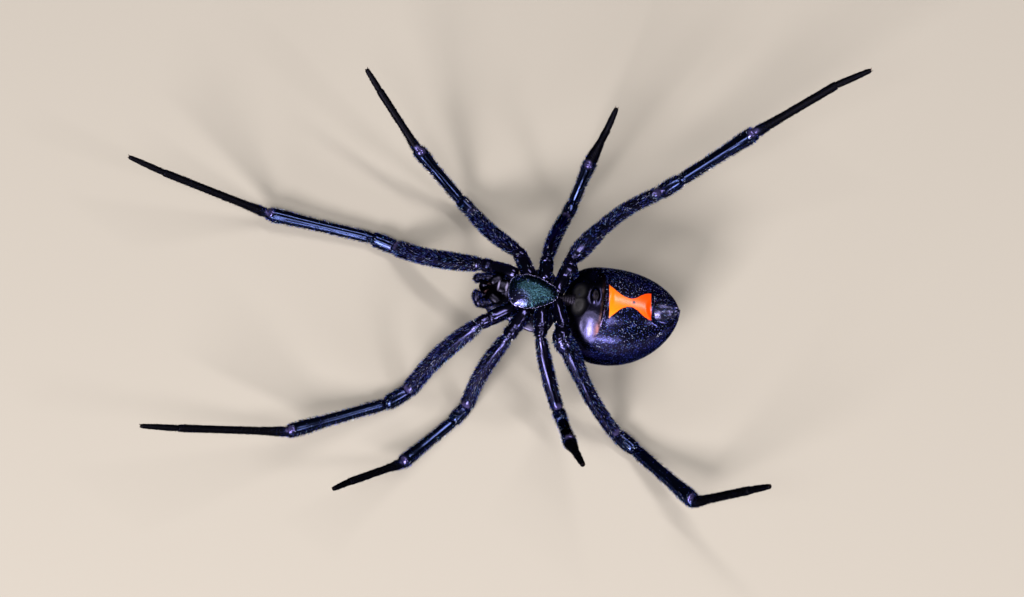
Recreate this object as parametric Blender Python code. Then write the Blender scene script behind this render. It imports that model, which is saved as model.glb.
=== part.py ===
"""Black widow spider, a still life-size model lying on its back as the animal hangs in its web.

The head points to -X, the spider's left side to +Y, and its underside to +Z. It rests on a small flat on
the back of the abdomen, at the origin, and on the knees of four legs. Sizes are in millimetres and angles
in degrees; MM turns the finished meshes into metres.
"""

import math

import bmesh
import bpy
from mathutils import Matrix, Vector

MM = 0.001
GAP = 0.2  # between two pieces that meet
UP = Vector((0, 0, 1))
SHARP_ANGLE = 40  # edges bent more than this stay crisp

# The abdomen: a globe whose back, turned to the floor, is deeper than its flatter underside.
ABDOMEN_FRONT = -2.34
ABDOMEN_WIDEST = -0.3
ABDOMEN_BACK = 3.45
ABDOMEN_WIDTH = 5.24
ABDOMEN_TOP = 5.36
ABDOMEN_FRONT_TIP = 4.5  # height at which the waist meets it
ABDOMEN_BACK_TIP = 4.35  # height of the hind end
ABDOMEN_SINK = 0.06  # how much of the round back the floor flat takes away
ABDOMEN_FRONT_CURVE = (3.0, 0.45)  # blunt in front
ABDOMEN_BACK_CURVE = (2.0, 0.58)  # drawn out behind
ABDOMEN_RINGS = 40
ABDOMEN_SIDES = 40
FOLD = dict(place=-0.50, half_length=1.7, depth=0.13, half_width=0.22)  # the crease across the belly
PLATE = dict(place=(-1.25, 0.86), size=(0.62, 0.62), rise=0.10)  # the cover of each lung, before the crease

# The cephalothorax: a carapace below, and the breastplate (sternum) on top with the coxae round it.
CARAPACE_EDGE = 3.9
CARAPACE_UNDERSIDE = 0.35
CARAPACE_STATIONS = (  # along X, half width, depth of the back below the edge
    (-6.95, 0.50, 0.38),
    (-6.75, 0.86, 0.62),
    (-6.25, 1.08, 0.76),
    (-5.50, 1.32, 0.74),
    (-4.80, 1.66, 0.68),
    (-4.15, 1.80, 0.62),
    (-3.55, 1.62, 0.60),
    (-3.15, 1.14, 0.50),
    (-2.92, 0.62, 0.32),
)
STERNUM_TOP = 5.46
STERNUM_STEPS = ((0.30, 1.0), (0.16, 0.94), (0.05, 0.70), (0.0, 0.36))  # below the top, share of the outline
STERNUM_HALF_OUTLINE = (
    (-5.72, 0.0),
    (-5.62, 0.52),
    (-5.36, 0.86),
    (-4.72, 0.97),
    (-3.84, 0.78),
    (-3.14, 0.38),
    (-2.98, 0.0),
)
WAIST_HEIGHT = 4.55
WAIST_RADIUS = 0.27

# The mouthparts.
LABIUM = dict(place=(-5.98, 0.0, 5.05), size=(0.26, 0.25, 0.22))
ENDITE = dict(place=(-6.14, 0.36, 4.98), size=(0.42, 0.21, 0.26), turn=12)
CHELICERA_BASE = (-6.95, 0.27, 4.12)
CHELICERA_TIP = (-6.92, 0.25, 5.06)
CHELICERA_RADIUS = 0.26
FANG_ROUTE = ((-6.92, 0.27, 4.98), (-6.88, 0.24, 5.20), (-6.74, 0.17, 5.29), (-6.58, 0.12, 5.24))
FANG_RADII = (0.12, 0.10, 0.07, 0.025)
PALP_RADII = (0.20, 0.25, 0.25, 0.24, 0.22, 0.14)
PALP_ROUTES = {
    "left": (
        (-6.50, 0.66, 4.86),
        (-6.74, 0.80, 4.82),
        (-7.02, 0.86, 4.80),
        (-7.28, 0.82, 4.80),
        (-7.52, 0.72, 4.84),
        (-7.68, 0.64, 4.90),
    ),
    "right": (
        (-6.50, -0.66, 4.86),
        (-6.78, -0.80, 4.84),
        (-7.06, -0.84, 4.86),
        (-7.27, -0.66, 4.92),
        (-7.32, -0.42, 5.02),
        (-7.24, -0.22, 5.12),
    ),
}
EYE_RADIUS = 0.13
EYE_ROWS = ((-6.82, (0.15, 0.50), 0.34), (-6.56, (0.22, 0.66), 0.52))  # along X, across, below the edge

# The spinnerets: three pairs of little cones on a collar at the hind end.
SPINNERET_PLACE = (2.96, 0.0, 4.76)
SPINNERET_RISE = 26
SPINNERET_COLLAR = ((0.0, 0.42), (0.12, 0.40), (0.20, 0.28))
SPINNERET_CONES = ((0.17, 0.16, 0.34), (-0.04, 0.20, 0.26), (-0.19, 0.10, 0.34))  # above, aside, long
SPINNERET_CONE_RADII = (0.13, 0.105, 0.05)

# The legs. The coxa row gives where each pair grows from and how far it reaches, trochanter included.
COXA_ROOTS = {1: (-5.55, 1.04), 2: (-4.72, 1.16), 3: (-3.80, 0.98), 4: (-3.00, 0.56)}
COXA_FACING = {1: 35, 2: 78, 3: 104, 4: 124}  # which way the side of the body faces there
COXA_HEIGHT = 4.88
LENGTHS = {
    1: dict(coxa=1.85, femur=6.35, patella=1.40, tibia=5.80, metatarsus=6.50, tarsus=2.20),
    2: dict(coxa=1.50, femur=5.40, patella=1.10, tibia=3.80, metatarsus=3.90, tarsus=1.40),
    3: dict(coxa=1.35, femur=4.50, patella=0.90, tibia=2.60, metatarsus=2.60, tarsus=1.25),
    4: dict(coxa=1.85, femur=6.60, patella=1.35, tibia=4.75, metatarsus=5.00, tarsus=2.00),
}
RADII = {
    1: dict(coxa=0.42, femur=0.49, patella=0.43, tibia=0.40, metatarsus=0.25, tarsus=0.20),
    2: dict(coxa=0.43, femur=0.43, patella=0.39, tibia=0.39, metatarsus=0.25, tarsus=0.20),
    3: dict(coxa=0.41, femur=0.40, patella=0.38, tibia=0.39, metatarsus=0.25, tarsus=0.21),
    4: dict(coxa=0.41, femur=0.42, patella=0.43, tibia=0.44, metatarsus=0.28, tarsus=0.22),
}
# Thickness along each segment, as (how far along, share of its radius).
SHAPES = dict(
    coxa=(
        (0.0, 0.76),
        (0.16, 0.90),
        (0.42, 1.0),
        (0.62, 0.92),
        (0.70, 0.74),
        (0.78, 0.90),
        (0.92, 0.90),
        (1.0, 0.72),
    ),
    femur=(
        (0.0, 0.62),
        (0.05, 0.78),
        (0.11, 0.88),
        (0.18, 0.95),
        (0.34, 1.0),
        (0.55, 0.98),
        (0.75, 0.92),
        (0.92, 0.88),
        (1.0, 0.74),
    ),
    patella=((0.0, 0.82), (0.20, 0.98), (0.55, 1.0), (0.85, 0.96), (1.0, 0.80)),
    tibia=((0.0, 0.66), (0.06, 0.80), (0.30, 0.80), (0.60, 0.84), (0.85, 1.0), (0.95, 0.98), (1.0, 0.72)),
    metatarsus=((0.0, 1.08), (0.05, 1.22), (0.14, 1.06), (0.30, 0.94), (0.60, 0.92), (0.92, 0.94), (1.0, 0.86)),
    tarsus=((0.0, 0.90), (0.15, 1.0), (0.50, 0.92), (0.80, 0.74), (0.94, 0.50), (1.0, 0.26)),
)
SWELLS = {  # where a segment is thicker still: by how much, where along it, and how far to either side
    (3, "metatarsus"): (0.40, 0.20, 0.50),
    (4, "femur"): (0.34, 0.12, 0.26),
}
NO_SWELL = (0.0, 0.5, 1.0)
FEMUR_BOW = {1: 0.08, 2: 0.08, 3: 0.10, 4: 0.40}
LOBES = {  # a bulge to one side of the trochanter: its reach, and its place and spread along the leg
    "leg_4_left": dict(reach=(0.18, 0.02, 0.0), place=-0.75, spread=0.62),
    "leg_4_right": dict(reach=(-0.34, -0.12, 0.0), place=0.0, spread=0.85),
}
NO_LOBE = dict(reach=(0.0, 0.0, 0.0), place=0.0, spread=1.0)
LEG_SIDES = 12
KNEE_HEIGHT = 0.36  # of the middle of a knee that rests on the floor

# The pose: (turn from straight ahead towards the leg's own side, rise above level) of each segment,
# from the coxa out. RESTS stands for the rise that brings the knee down to the floor.
RESTS = None
POSE = {
    "leg_1_left": ((18, -20), (21, RESTS), (16, 3), (6, 3), (4, 31), (7, 31)),
    "leg_1_right": ((36, 9), (37, RESTS), (39, 3), (28, 14), (15, 28), (13, 27)),
    "leg_2_left": ((64, -18), (50, -40), (42, 1), (34, 36), (44, 34), (44, 39)),
    "leg_2_right": ((62, -5), (56, RESTS), (57, 2), (49, 7), (38, 33), (46, 40)),
    "leg_3_left": ((88, -21), (103, -37), (109, 2), (110, 42), (124, 63), (109, 24)),
    "leg_3_right": ((93, 2), (116, -46), (112, 20), (106, 46), (108, 56), (111, 49)),
    "leg_4_left": ((104, -12), (132, -11), (141, 2), (146, 23), (146, 16), (153, 13)),
    "leg_4_right": ((114, 5), (132, RESTS), (146, 2), (138, 18), (172, 58), (165, 61)),
}


def clear_scene():
    for obj in list(bpy.data.objects):
        bpy.data.objects.remove(obj, do_unlink=True)


def material(name, colour, roughness):
    """A plain finish: colour as red, green and blue, no metal."""
    made = bpy.data.materials.new(name)
    made.use_nodes = True
    shader = made.node_tree.nodes["Principled BSDF"]
    shader.inputs["Base Color"].default_value = (*colour, 1.0)
    shader.inputs["Roughness"].default_value = roughness
    shader.inputs["Metallic"].default_value = 0.0
    made.diffuse_color = (*colour, 1.0)
    return made


def heading(turn, rise, side):
    """The direction of a leg segment; side is 1 on the spider's left and -1 on its right."""
    level = math.cos(math.radians(rise))
    turn = math.radians(turn)
    return Vector((-level * math.cos(turn), side * level * math.sin(turn), math.sin(math.radians(rise))))


def ring_frame(place, along, wide, tall):
    """The matrix that turns the unit circle into a ring across a direction."""
    across = along.cross(UP).normalized()
    over = across.cross(along).normalized()
    columns = Matrix((across * wide, over * tall, across.cross(over))).transposed().to_4x4()
    return Matrix.Translation(place) @ columns


def extruded(bm, face):
    """Extrudes a face and gives the new one; the old one stays only where it closes the body's first end."""
    is_first = len(bm.faces) == 1
    grown = bmesh.ops.extrude_face_region(bm, geom=[face])["geom"]
    if not is_first:
        bmesh.ops.delete(bm, geom=[face], context="FACES_ONLY")
    return next(item for item in grown if isinstance(item, bmesh.types.BMFace))


def tube(rings, sides):
    """A closed body extruded from ring to ring; each ring is (place, direction, half width, half height)."""
    bm = bmesh.new()
    frames = [ring_frame(*ring) for ring in rings]
    bmesh.ops.create_circle(bm, cap_ends=True, segments=sides, radius=1.0, matrix=frames[0])
    bm.faces.ensure_lookup_table()
    end = bm.faces[0]
    for before, after in zip(frames, frames[1:]):
        end = extruded(bm, end)
        bmesh.ops.transform(bm, matrix=after @ before.inverted(), verts=end.verts)
    bmesh.ops.recalc_face_normals(bm, faces=bm.faces)
    return bm


def egg(place, size, turn=0.0):
    """A low-sided ellipsoid, turned about the vertical."""
    bm = bmesh.new()
    bmesh.ops.create_uvsphere(bm, u_segments=12, v_segments=8, radius=1.0)
    stretch = Matrix.Diagonal((*size, 1.0))
    turned = Matrix.Rotation(math.radians(turn), 4, "Z")
    bmesh.ops.transform(bm, matrix=Matrix.Translation(place) @ turned @ stretch, verts=bm.verts)
    return bm


def rest_on_floor(bm):
    """Cuts off what would lie below the floor and closes the cut with one flat face."""
    if min(vertex.co.z for vertex in bm.verts) >= 0:
        return
    everything = bm.verts[:] + bm.edges[:] + bm.faces[:]
    below = dict(plane_co=(0, 0, 0), plane_no=(0, 0, -1), clear_outer=True)
    cut = bmesh.ops.bisect_plane(bm, geom=everything, **below)
    edges = [item for item in cut["geom_cut"] if isinstance(item, bmesh.types.BMEdge)]
    bmesh.ops.holes_fill(bm, edges=edges, sides=0)
    bmesh.ops.recalc_face_normals(bm, faces=bm.faces)


def mesh_object(name, bm):
    """Turns a closed body into a named object, still in millimetres."""
    bmesh.ops.triangulate(bm, faces=[face for face in bm.faces if len(face.verts) > 4])
    mesh = bpy.data.meshes.new(name)
    bm.to_mesh(mesh)
    bm.free()
    obj = bpy.data.objects.new(name, mesh)
    bpy.context.scene.collection.objects.link(obj)
    return obj


def finished(obj, finish):
    """Brings an object to metres, smooths its shading and gives it its material."""
    mesh = obj.data
    mesh.transform(Matrix.Scale(MM, 4))
    mesh.materials.clear()
    mesh.materials.append(finish)
    mesh.shade_smooth()
    mesh.set_sharp_from_angle(angle=math.radians(SHARP_ANGLE))
    return obj


def add_object(name, bm, finish):
    return finished(mesh_object(name, bm), finish)


def add_union(name, first, others, finish):
    """One body out of several closed ones that overlap."""
    body = mesh_object(name, first)
    pieces = bpy.data.collections.new(name + "_pieces")
    bpy.context.scene.collection.children.link(pieces)
    for index, bm in enumerate(others):
        piece = mesh_object(f"{name}_piece_{index}", bm)
        bpy.context.scene.collection.objects.unlink(piece)
        pieces.objects.link(piece)
    union = body.modifiers.new("union", "BOOLEAN")
    union.operation = "UNION"
    union.operand_type = "COLLECTION"
    union.collection = pieces
    union.solver = "EXACT"
    bpy.context.view_layer.update()
    joined = bpy.data.meshes.new_from_object(body.evaluated_get(bpy.context.evaluated_depsgraph_get()))
    body.modifiers.clear()
    body.data = joined
    joined.name = name
    keep_largest_surface(joined)
    for piece in list(pieces.objects):
        bpy.data.objects.remove(piece, do_unlink=True)
    bpy.data.collections.remove(pieces)
    return finished(body, finish)


def keep_largest_surface(mesh):
    """Drops every loose scrap and every sealed inner surface that a union leaves."""
    bm = bmesh.new()
    bm.from_mesh(mesh)
    left = set(bm.verts)
    surfaces = []
    while left:
        reached = {left.pop()}
        edge_of_search = list(reached)
        while edge_of_search:
            vertex = edge_of_search.pop()
            for edge in vertex.link_edges:
                other = edge.other_vert(vertex)
                if other in left:
                    left.discard(other)
                    reached.add(other)
                    edge_of_search.append(other)
        surfaces.append(reached)
    largest = max(surfaces, key=len)
    bmesh.ops.delete(bm, geom=[vertex for vertex in bm.verts if vertex not in largest], context="VERTS")
    bm.to_mesh(mesh)
    bm.free()


def fullness(along):
    """How thick the abdomen is at a place along X: 0 at both ends and 1 where it is widest."""
    if along < ABDOMEN_WIDEST:
        end, (power, root) = ABDOMEN_FRONT, ABDOMEN_FRONT_CURVE
    else:
        end, (power, root) = ABDOMEN_BACK, ABDOMEN_BACK_CURVE
    share = (along - ABDOMEN_WIDEST) / (end - ABDOMEN_WIDEST)
    return max(1.0 - share**power, 0.0) ** root


def blend(low, high, share):
    return low + (high - low) * share


def bump(distance):
    """1 in the middle, falling smoothly to 0 at a distance of 1."""
    return (1.0 - min(distance, 1.0) ** 2) ** 2


def belly_relief(x, y):
    """How far the belly stands out: the two lung covers, and the crease behind them."""
    plate_x, plate_y = PLATE["place"]
    long, wide = PLATE["size"]
    covers = PLATE["rise"] * bump(math.hypot((x - plate_x) / long, (abs(y) - plate_y) / wide))
    bent = FOLD["place"] - 0.12 * (y / FOLD["half_length"]) ** 2
    crease = FOLD["depth"] * bump(abs(x - bent) / FOLD["half_width"]) * bump(abs(y) / FOLD["half_length"])
    return covers - crease


def make_abdomen(finish):
    """Rings from the waist to the hind end; each is an oval with its own top and bottom."""
    bm = bmesh.new()
    rings = []
    for index in range(ABDOMEN_RINGS):
        share = 0.5 - 0.5 * math.cos(math.pi * (index + 0.5) / ABDOMEN_RINGS)
        along = blend(ABDOMEN_FRONT, ABDOMEN_BACK, share)
        thick = fullness(along)
        tip = blend(ABDOMEN_FRONT_TIP, ABDOMEN_BACK_TIP, share)
        top = (ABDOMEN_TOP - tip) * thick
        bottom = (tip + ABDOMEN_SINK) * thick
        frame = Matrix.Translation((along, 0, tip)) @ Matrix.Rotation(math.pi / 2, 4, "Y")
        made = bmesh.ops.create_circle(bm, cap_ends=False, segments=ABDOMEN_SIDES, radius=1.0, matrix=frame)
        for vertex in made["verts"]:
            up, out = vertex.co.z - tip, vertex.co.y
            vertex.co.y = out * thick * ABDOMEN_WIDTH / 2
            vertex.co.z = tip + (top - bottom) / 2 + up * (top + bottom) / 2
            if up > 0:
                vertex.co.z += up * belly_relief(along, vertex.co.y)
        rings.append(made["verts"])
    bmesh.ops.bridge_loops(bm, edges=bm.edges[:])
    for ends in (rings[0], rings[-1]):
        bmesh.ops.contextual_create(bm, geom=ends)
    bmesh.ops.recalc_face_normals(bm, faces=bm.faces)
    rest_on_floor(bm)
    return add_object("abdomen", bm, finish)


def carapace():
    """The shield over the back, widest behind the middle, with the raised head in front."""
    rings = []
    for along, half_width, depth in CARAPACE_STATIONS:
        height = (depth + CARAPACE_UNDERSIDE * min(1.0, half_width)) / 2
        middle = CARAPACE_EDGE - depth + height
        rings.append((Vector((along, 0, middle)), Vector((1, 0, 0)), half_width, height))
    return tube(rings, 24)


def sternum():
    """The breastplate and the body under it, as one block with a domed top."""
    half = [Vector((x, y, CARAPACE_EDGE)) for x, y in STERNUM_HALF_OUTLINE]
    outline = half + [Vector((p.x, -p.y, p.z)) for p in reversed(half[1:-1])]
    bm = bmesh.new()
    top = bm.faces.new([bm.verts.new(p) for p in outline])
    centre = top.calc_center_median()
    share_before = 1.0
    for below_top, share in STERNUM_STEPS:
        top = extruded(bm, top)
        narrower = share / share_before
        bmesh.ops.scale(bm, vec=(narrower, narrower, 1), verts=top.verts, space=Matrix.Translation(-centre))
        for vertex in top.verts:
            vertex.co.z = STERNUM_TOP - below_top
        share_before = share
    bmesh.ops.recalc_face_normals(bm, faces=bm.faces)
    return bm


def make_cephalothorax(finish):
    mouth = [egg(LABIUM["place"], LABIUM["size"])]
    for side in (1, -1):
        x, y, z = ENDITE["place"]
        mouth.append(egg((x, side * y, z), ENDITE["size"], -side * ENDITE["turn"]))
    eyes = []
    for along, places, depth in EYE_ROWS:
        for across in places:
            for side in (1, -1):
                eyes.append(egg((along, side * across, CARAPACE_EDGE - depth), (EYE_RADIUS,) * 3))
    return add_union("cephalothorax", carapace(), [sternum()] + mouth + eyes, finish)


def make_waist(finish):
    front = STERNUM_HALF_OUTLINE[-1][0] + GAP
    back = ABDOMEN_FRONT - GAP / 2
    ahead = Vector((1, 0, 0))
    stations = ((front, 0.9), (blend(front, back, 0.4), 1.0), (back, 1.25))
    rings = []
    for x, share in stations:
        rings.append((Vector((x, 0, WAIST_HEIGHT)), ahead, WAIST_RADIUS * share, WAIST_RADIUS * share))
    return add_object("pedicel", tube(rings, LEG_SIDES), finish)


def route_tube(places, radii, sides):
    """A tube along a bent route, its rings turned half way at each bend."""
    places = [Vector(place) for place in places]
    rings = []
    for index, (place, radius) in enumerate(zip(places, radii)):
        before = places[max(index - 1, 0)]
        after = places[min(index + 1, len(places) - 1)]
        rings.append((place, (after - before).normalized(), radius, radius))
    return tube(rings, sides)


def make_chelicera(side_name, side, finish):
    """The stout jaw, hanging from the front of the head, with its fang folded across the tip."""
    base, tip = (Vector((x, side * y, z)) for x, y, z in (CHELICERA_BASE, CHELICERA_TIP))
    axis = (tip - base).normalized()
    stations = ((0.0, 0.80), (0.25, 0.98), (0.55, 1.0), (0.85, 0.86), (1.0, 0.58))
    rings = []
    for share, thick in stations:
        across = CHELICERA_RADIUS * thick * 0.84
        rings.append((base.lerp(tip, share), axis, across, CHELICERA_RADIUS * thick))
    fang = route_tube([(x, side * y, z) for x, y, z in FANG_ROUTE], FANG_RADII, 8)
    return add_union(f"chelicera_{side_name}", tube(rings, LEG_SIDES), [fang], finish)


def make_spinnerets(finish):
    """A collar with three pairs of cones, pointing back and a little up."""
    axis = heading(180, SPINNERET_RISE, 1)
    place = Vector(SPINNERET_PLACE) + axis * GAP
    across = axis.cross(UP).normalized()
    over = across.cross(axis)
    collar = tube([(place + axis * out, axis, radius, radius) for out, radius in SPINNERET_COLLAR], 16)
    cones = []
    for rise, aside, length in SPINNERET_CONES:
        for side in (1, -1):
            root = place + over * rise + across * (aside * side) + axis * 0.05
            end = root + axis * length - across * (aside * side * 0.5)
            cones.append(route_tube([root, root.lerp(end, 0.6), end], SPINNERET_CONE_RADII, 8))
    return add_union("spinnerets", collar, cones, finish)


def segment(start, end, end_normals, radius, shape, bow=0.0, swell=NO_SWELL, lobe=NO_LOBE, past=0.0):
    """A leg segment with its two end faces turned to meet its neighbours.

    Its middle is bowed forwards, and a part of it may be swollen. It starts at past along the leg from the
    trochanter's end, where a lobe may bulge to one side.
    """
    axis = (end - start).normalized()
    aside = axis.cross(UP).normalized()
    if aside.x > 0:
        aside.negate()
    rings = []
    more, middle, spread = swell
    for share, thick in shape:
        direction = {0.0: end_normals[0], 1.0: end_normals[1]}.get(share, axis)
        bulge = bump(abs(past + (end - start).length * share - lobe["place"]) / lobe["spread"]) / 2
        reach = Vector(lobe["reach"]) * bulge
        place = start.lerp(end, share) + aside * (bow * math.sin(math.pi * share)) + reach
        width = radius * (thick + more * bump(abs(share - middle) / spread)) + reach.length
        rings.append((place, direction, width, width))
    return tube(rings, LEG_SIDES)


def leg_joints(name):
    """The places of a leg's joints, from its root to its tip, and the direction of each segment."""
    pair = int(name.split("_")[1])
    side = 1 if name.endswith("left") else -1
    x, y = COXA_ROOTS[pair]
    joints = [Vector((x, side * y, COXA_HEIGHT))]
    axes = []
    for length, (turn, rise) in zip(LENGTHS[pair].values(), POSE[name]):
        if rise is RESTS:
            rise = -math.degrees(math.asin((joints[-1].z - KNEE_HEIGHT) / length))
        axes.append(heading(turn, rise, side))
        joints.append(joints[-1] + axes[-1] * length)
    return joints, axes


def make_leg(name, finishes):
    pair = int(name.split("_")[1])
    side = 1 if name.endswith("left") else -1
    joints, axes = leg_joints(name)
    normals = [heading(COXA_FACING[pair], 0, side)]
    normals += [(before + after).normalized() for before, after in zip(axes, axes[1:])]
    normals.append(axes[-1])
    for index, (kind, shape) in enumerate(SHAPES.items()):
        start = joints[index] + axes[index] * (GAP / 2 if index else 0.0)
        end = joints[index + 1] - axes[index] * (GAP / 2 if index < len(SHAPES) - 1 else 0.0)
        bends = dict(swell=SWELLS.get((pair, kind), NO_SWELL))
        if kind == "coxa":
            bends.update(lobe=LOBES.get(name, NO_LOBE), past=-LENGTHS[pair]["coxa"])
        if kind == "femur":
            bends.update(bow=FEMUR_BOW[pair], lobe=LOBES.get(name, NO_LOBE))
        bm = segment(start, end, normals[index : index + 2], RADII[pair][kind], shape, **bends)
        rest_on_floor(bm)
        add_object(f"{name}_{kind}", bm, finishes[kind])


clear_scene()
shell = material("black_shell", (0.012, 0.010, 0.014), 0.22)
breast = material("breast_shell", (0.020, 0.018, 0.022), 0.32)
limb = material("leg_shell", (0.016, 0.012, 0.014), 0.34)
foot = material("foot_shell", (0.035, 0.022, 0.018), 0.5)
jaw = material("jaw_shell", (0.030, 0.018, 0.016), 0.3)
spinner = material("spinneret_shell", (0.045, 0.032, 0.028), 0.5)

make_abdomen(shell)
make_cephalothorax(breast)
make_waist(breast)
make_spinnerets(spinner)
for side_name, side in (("left", 1), ("right", -1)):
    make_chelicera(side_name, side, jaw)
    add_object(f"palp_{side_name}", route_tube(PALP_ROUTES[side_name], PALP_RADII, LEG_SIDES), jaw)
leg_finishes = dict(coxa=limb, femur=limb, patella=limb, tibia=limb, metatarsus=foot, tarsus=foot)
for leg_name in POSE:
    make_leg(leg_name, leg_finishes)
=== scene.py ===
import math

import bmesh
import bpy
import numpy as np
from mathutils import Matrix, Vector


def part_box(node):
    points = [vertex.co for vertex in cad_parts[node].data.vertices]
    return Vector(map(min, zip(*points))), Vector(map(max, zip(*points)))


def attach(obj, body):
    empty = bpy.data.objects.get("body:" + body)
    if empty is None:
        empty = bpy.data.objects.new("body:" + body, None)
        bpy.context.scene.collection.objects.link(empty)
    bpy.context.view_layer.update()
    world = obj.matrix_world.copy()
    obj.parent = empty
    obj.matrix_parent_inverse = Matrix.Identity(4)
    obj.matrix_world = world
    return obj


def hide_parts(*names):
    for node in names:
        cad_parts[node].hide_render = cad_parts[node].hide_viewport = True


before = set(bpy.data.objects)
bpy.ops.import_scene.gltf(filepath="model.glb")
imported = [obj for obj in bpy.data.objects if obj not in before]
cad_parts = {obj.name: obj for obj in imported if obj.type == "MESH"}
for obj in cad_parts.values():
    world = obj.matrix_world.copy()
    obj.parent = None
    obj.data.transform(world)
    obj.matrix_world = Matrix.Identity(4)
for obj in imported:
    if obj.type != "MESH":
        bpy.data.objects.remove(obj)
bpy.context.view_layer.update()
MM = 0.001  # every size below is in millimetres

# The camera looks down on the belly at the photograph's angle, from far off with a long lens.
# It is turned a little about its own axis, as the animal hangs a little askew in the photograph.
PIXELS_PER_MM = 18.7
PICTURE_WIDTH = 1024
PICTURE_CENTRE = (512.0, 298.5)
ORIGIN_IN_PICTURE = (610.1, 334.4)
CAMERA_DISTANCE = 300.0
CAMERA_ELEVATION = math.radians(70.0)
CAMERA_ROLL = math.radians(6.5)
SENSOR = 36.0

to_camera = Vector((0, -math.cos(CAMERA_ELEVATION), math.sin(CAMERA_ELEVATION)))
level = Vector((1, 0, 0))
rise = Vector((0, math.sin(CAMERA_ELEVATION), math.cos(CAMERA_ELEVATION)))
picture_right = level * math.cos(CAMERA_ROLL) + rise * math.sin(CAMERA_ROLL)
picture_up = rise * math.cos(CAMERA_ROLL) - level * math.sin(CAMERA_ROLL)
shift_right = (PICTURE_CENTRE[0] - ORIGIN_IN_PICTURE[0]) / PIXELS_PER_MM
shift_up = (ORIGIN_IN_PICTURE[1] - PICTURE_CENTRE[1]) / PIXELS_PER_MM
camera_target = picture_right * shift_right + picture_up * shift_up
lens = bpy.data.cameras.new("camera")
lens.sensor_width = SENSOR
lens.lens = PIXELS_PER_MM * CAMERA_DISTANCE / PICTURE_WIDTH * SENSOR
lens.clip_start = 0.01
lens.clip_end = 10.0


def placed(name, data):
    """A new object in the scene."""
    obj = bpy.data.objects.new(name, data)
    bpy.context.scene.collection.objects.link(obj)
    return obj


camera = placed("camera", lens)
camera_place = Matrix.Translation((camera_target + to_camera * CAMERA_DISTANCE) * MM)
camera.matrix_world = camera_place @ Matrix((picture_right, picture_up, to_camera)).transposed().to_4x4()
bpy.context.scene.camera = camera

# The abdomen is a globe of thin, tight black cuticle that hangs on the waist by its blunt front.
# Its underside has the bare front plates with the lung covers, the crease behind them, and the red-orange
# hourglass, which is a patch of clear cuticle over coloured tissue. The solid gives its size and place.
ABDOMEN_WIDEST = 0.348  # share of the length from the waist
ABDOMEN_TIPS = (4.5, 4.35)  # heights of the front and the hind end
ABDOMEN_CURVES = ((3.0, 0.45), (2.0, 0.58))  # power and root of the outline in front and behind
ABDOMEN_COAT = 0.05  # how far the skin lies inside the solid
ABDOMEN_GRID = (330, 280)
RELIEF_FADE = 0.02  # share of the length at each end where the relief dies out
CREASE = dict(place=-0.52, bow=0.11, half_length=1.55, depth=0.17, half_width=0.11)
CREASE_LIP = dict(behind=0.22, half_width=0.24, height=0.05)
CREASE_SKIN = dict(ahead=0.10, half_width=0.16)  # where the crease shows brown
FRONT_PLATES = dict(place=(-1.35, 0.0), size=(1.25, 2.02), softness=0.25)
PLATE_EDGE = 0.10  # how gradually the plates end at the crease
FRONT_BULGE = dict(height=3.6, spread=1.6, reach=0.40)  # how the back swells forwards below the waist
LUNG_COVER = dict(place=(-1.25, 1.50), size=(0.55, 0.85), rise=0.10)
COVER_WINDOW = dict(place=(-1.24, 1.66), size=(0.46, 0.74), rise=1.0)  # its clear, glossy middle
BROWN_PATCH = dict(place=(-0.76, 1.60), size=(0.34, 0.60), rise=1.0)  # rust-brown skin behind each cover
FRONT_LOBE = dict(place=(-1.90, 0.38), size=(0.34, 0.44), rise=0.07, softness=0.9)  # matt grey, at the waist
EPIGYNUM = dict(place=(-1.02, 0.12), size=(0.56, 0.60), rise=0.09)
EPIGYNUM_GLOSS = dict(place=(-0.98, 0.05), size=(0.60, 0.75), rise=0.9)
EPIGYNUM_PIT = dict(place=(-1.08, 0.16), size=(0.22, 0.38), rise=-0.16, softness=0.7)
SPINNERET_MOUND = dict(place=(2.62, -0.05), size=(0.88, 0.82), rise=0.14, softness=0.30)
BACK_DIMPLES = ((-0.9, 0.62), (0.55, 0.72), (1.75, 0.52))
DIMPLE = dict(size=0.16, depth=0.05)
WELD = 1e-4
STEP = 1e-4

abdomen_low, abdomen_high = (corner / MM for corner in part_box("abdomen"))


def flow(pairs, at):
    """A smooth curve, with no overshoot, through (place, value) pairs."""
    x, y = np.array(pairs, float).T
    secant = np.diff(y) / np.diff(x)
    slope = np.concatenate((secant[:1], np.zeros(len(x) - 2), secant[-1:]))
    product = secant[:-1] * secant[1:]
    same_way = product > 0
    slope[1:-1][same_way] = 2 * product[same_way] / (secant[:-1] + secant[1:])[same_way]
    k = np.clip(np.searchsorted(x, at, side="right") - 1, 0, len(x) - 2)
    step = x[k + 1] - x[k]
    t = np.clip((at - x[k]) / step, 0, 1)
    ends = (1 + 2 * t) * (1 - t) ** 2 * y[k] + t * t * (3 - 2 * t) * y[k + 1]
    return ends + step * (t * (1 - t) ** 2 * slope[k] + t * t * (t - 1) * slope[k + 1])


def bump(distance):
    """1 in the middle, falling smoothly to 0 at a distance of 1."""
    return (1 - np.minimum(distance, 1.0) ** 2) ** 2


def plateau(distance, softness):
    """1 inside, 0 outside a distance of 1, with a soft edge."""
    share = np.clip((1 - distance) / softness + 0.5, 0, 1)
    return share * share * (3 - 2 * share)


def oval(x, y, form):
    """How far out a point lies on an oval form: 0 in its middle, 1 on its edge."""
    (middle_x, middle_y), (long, wide) = form["place"], form["size"]
    return np.hypot((x - middle_x) / long, (y - middle_y) / wide)


def spot(x, y, form):
    """A smooth rise with its top in the middle of the form."""
    return form["rise"] * bump(oval(x, y, form))


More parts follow.
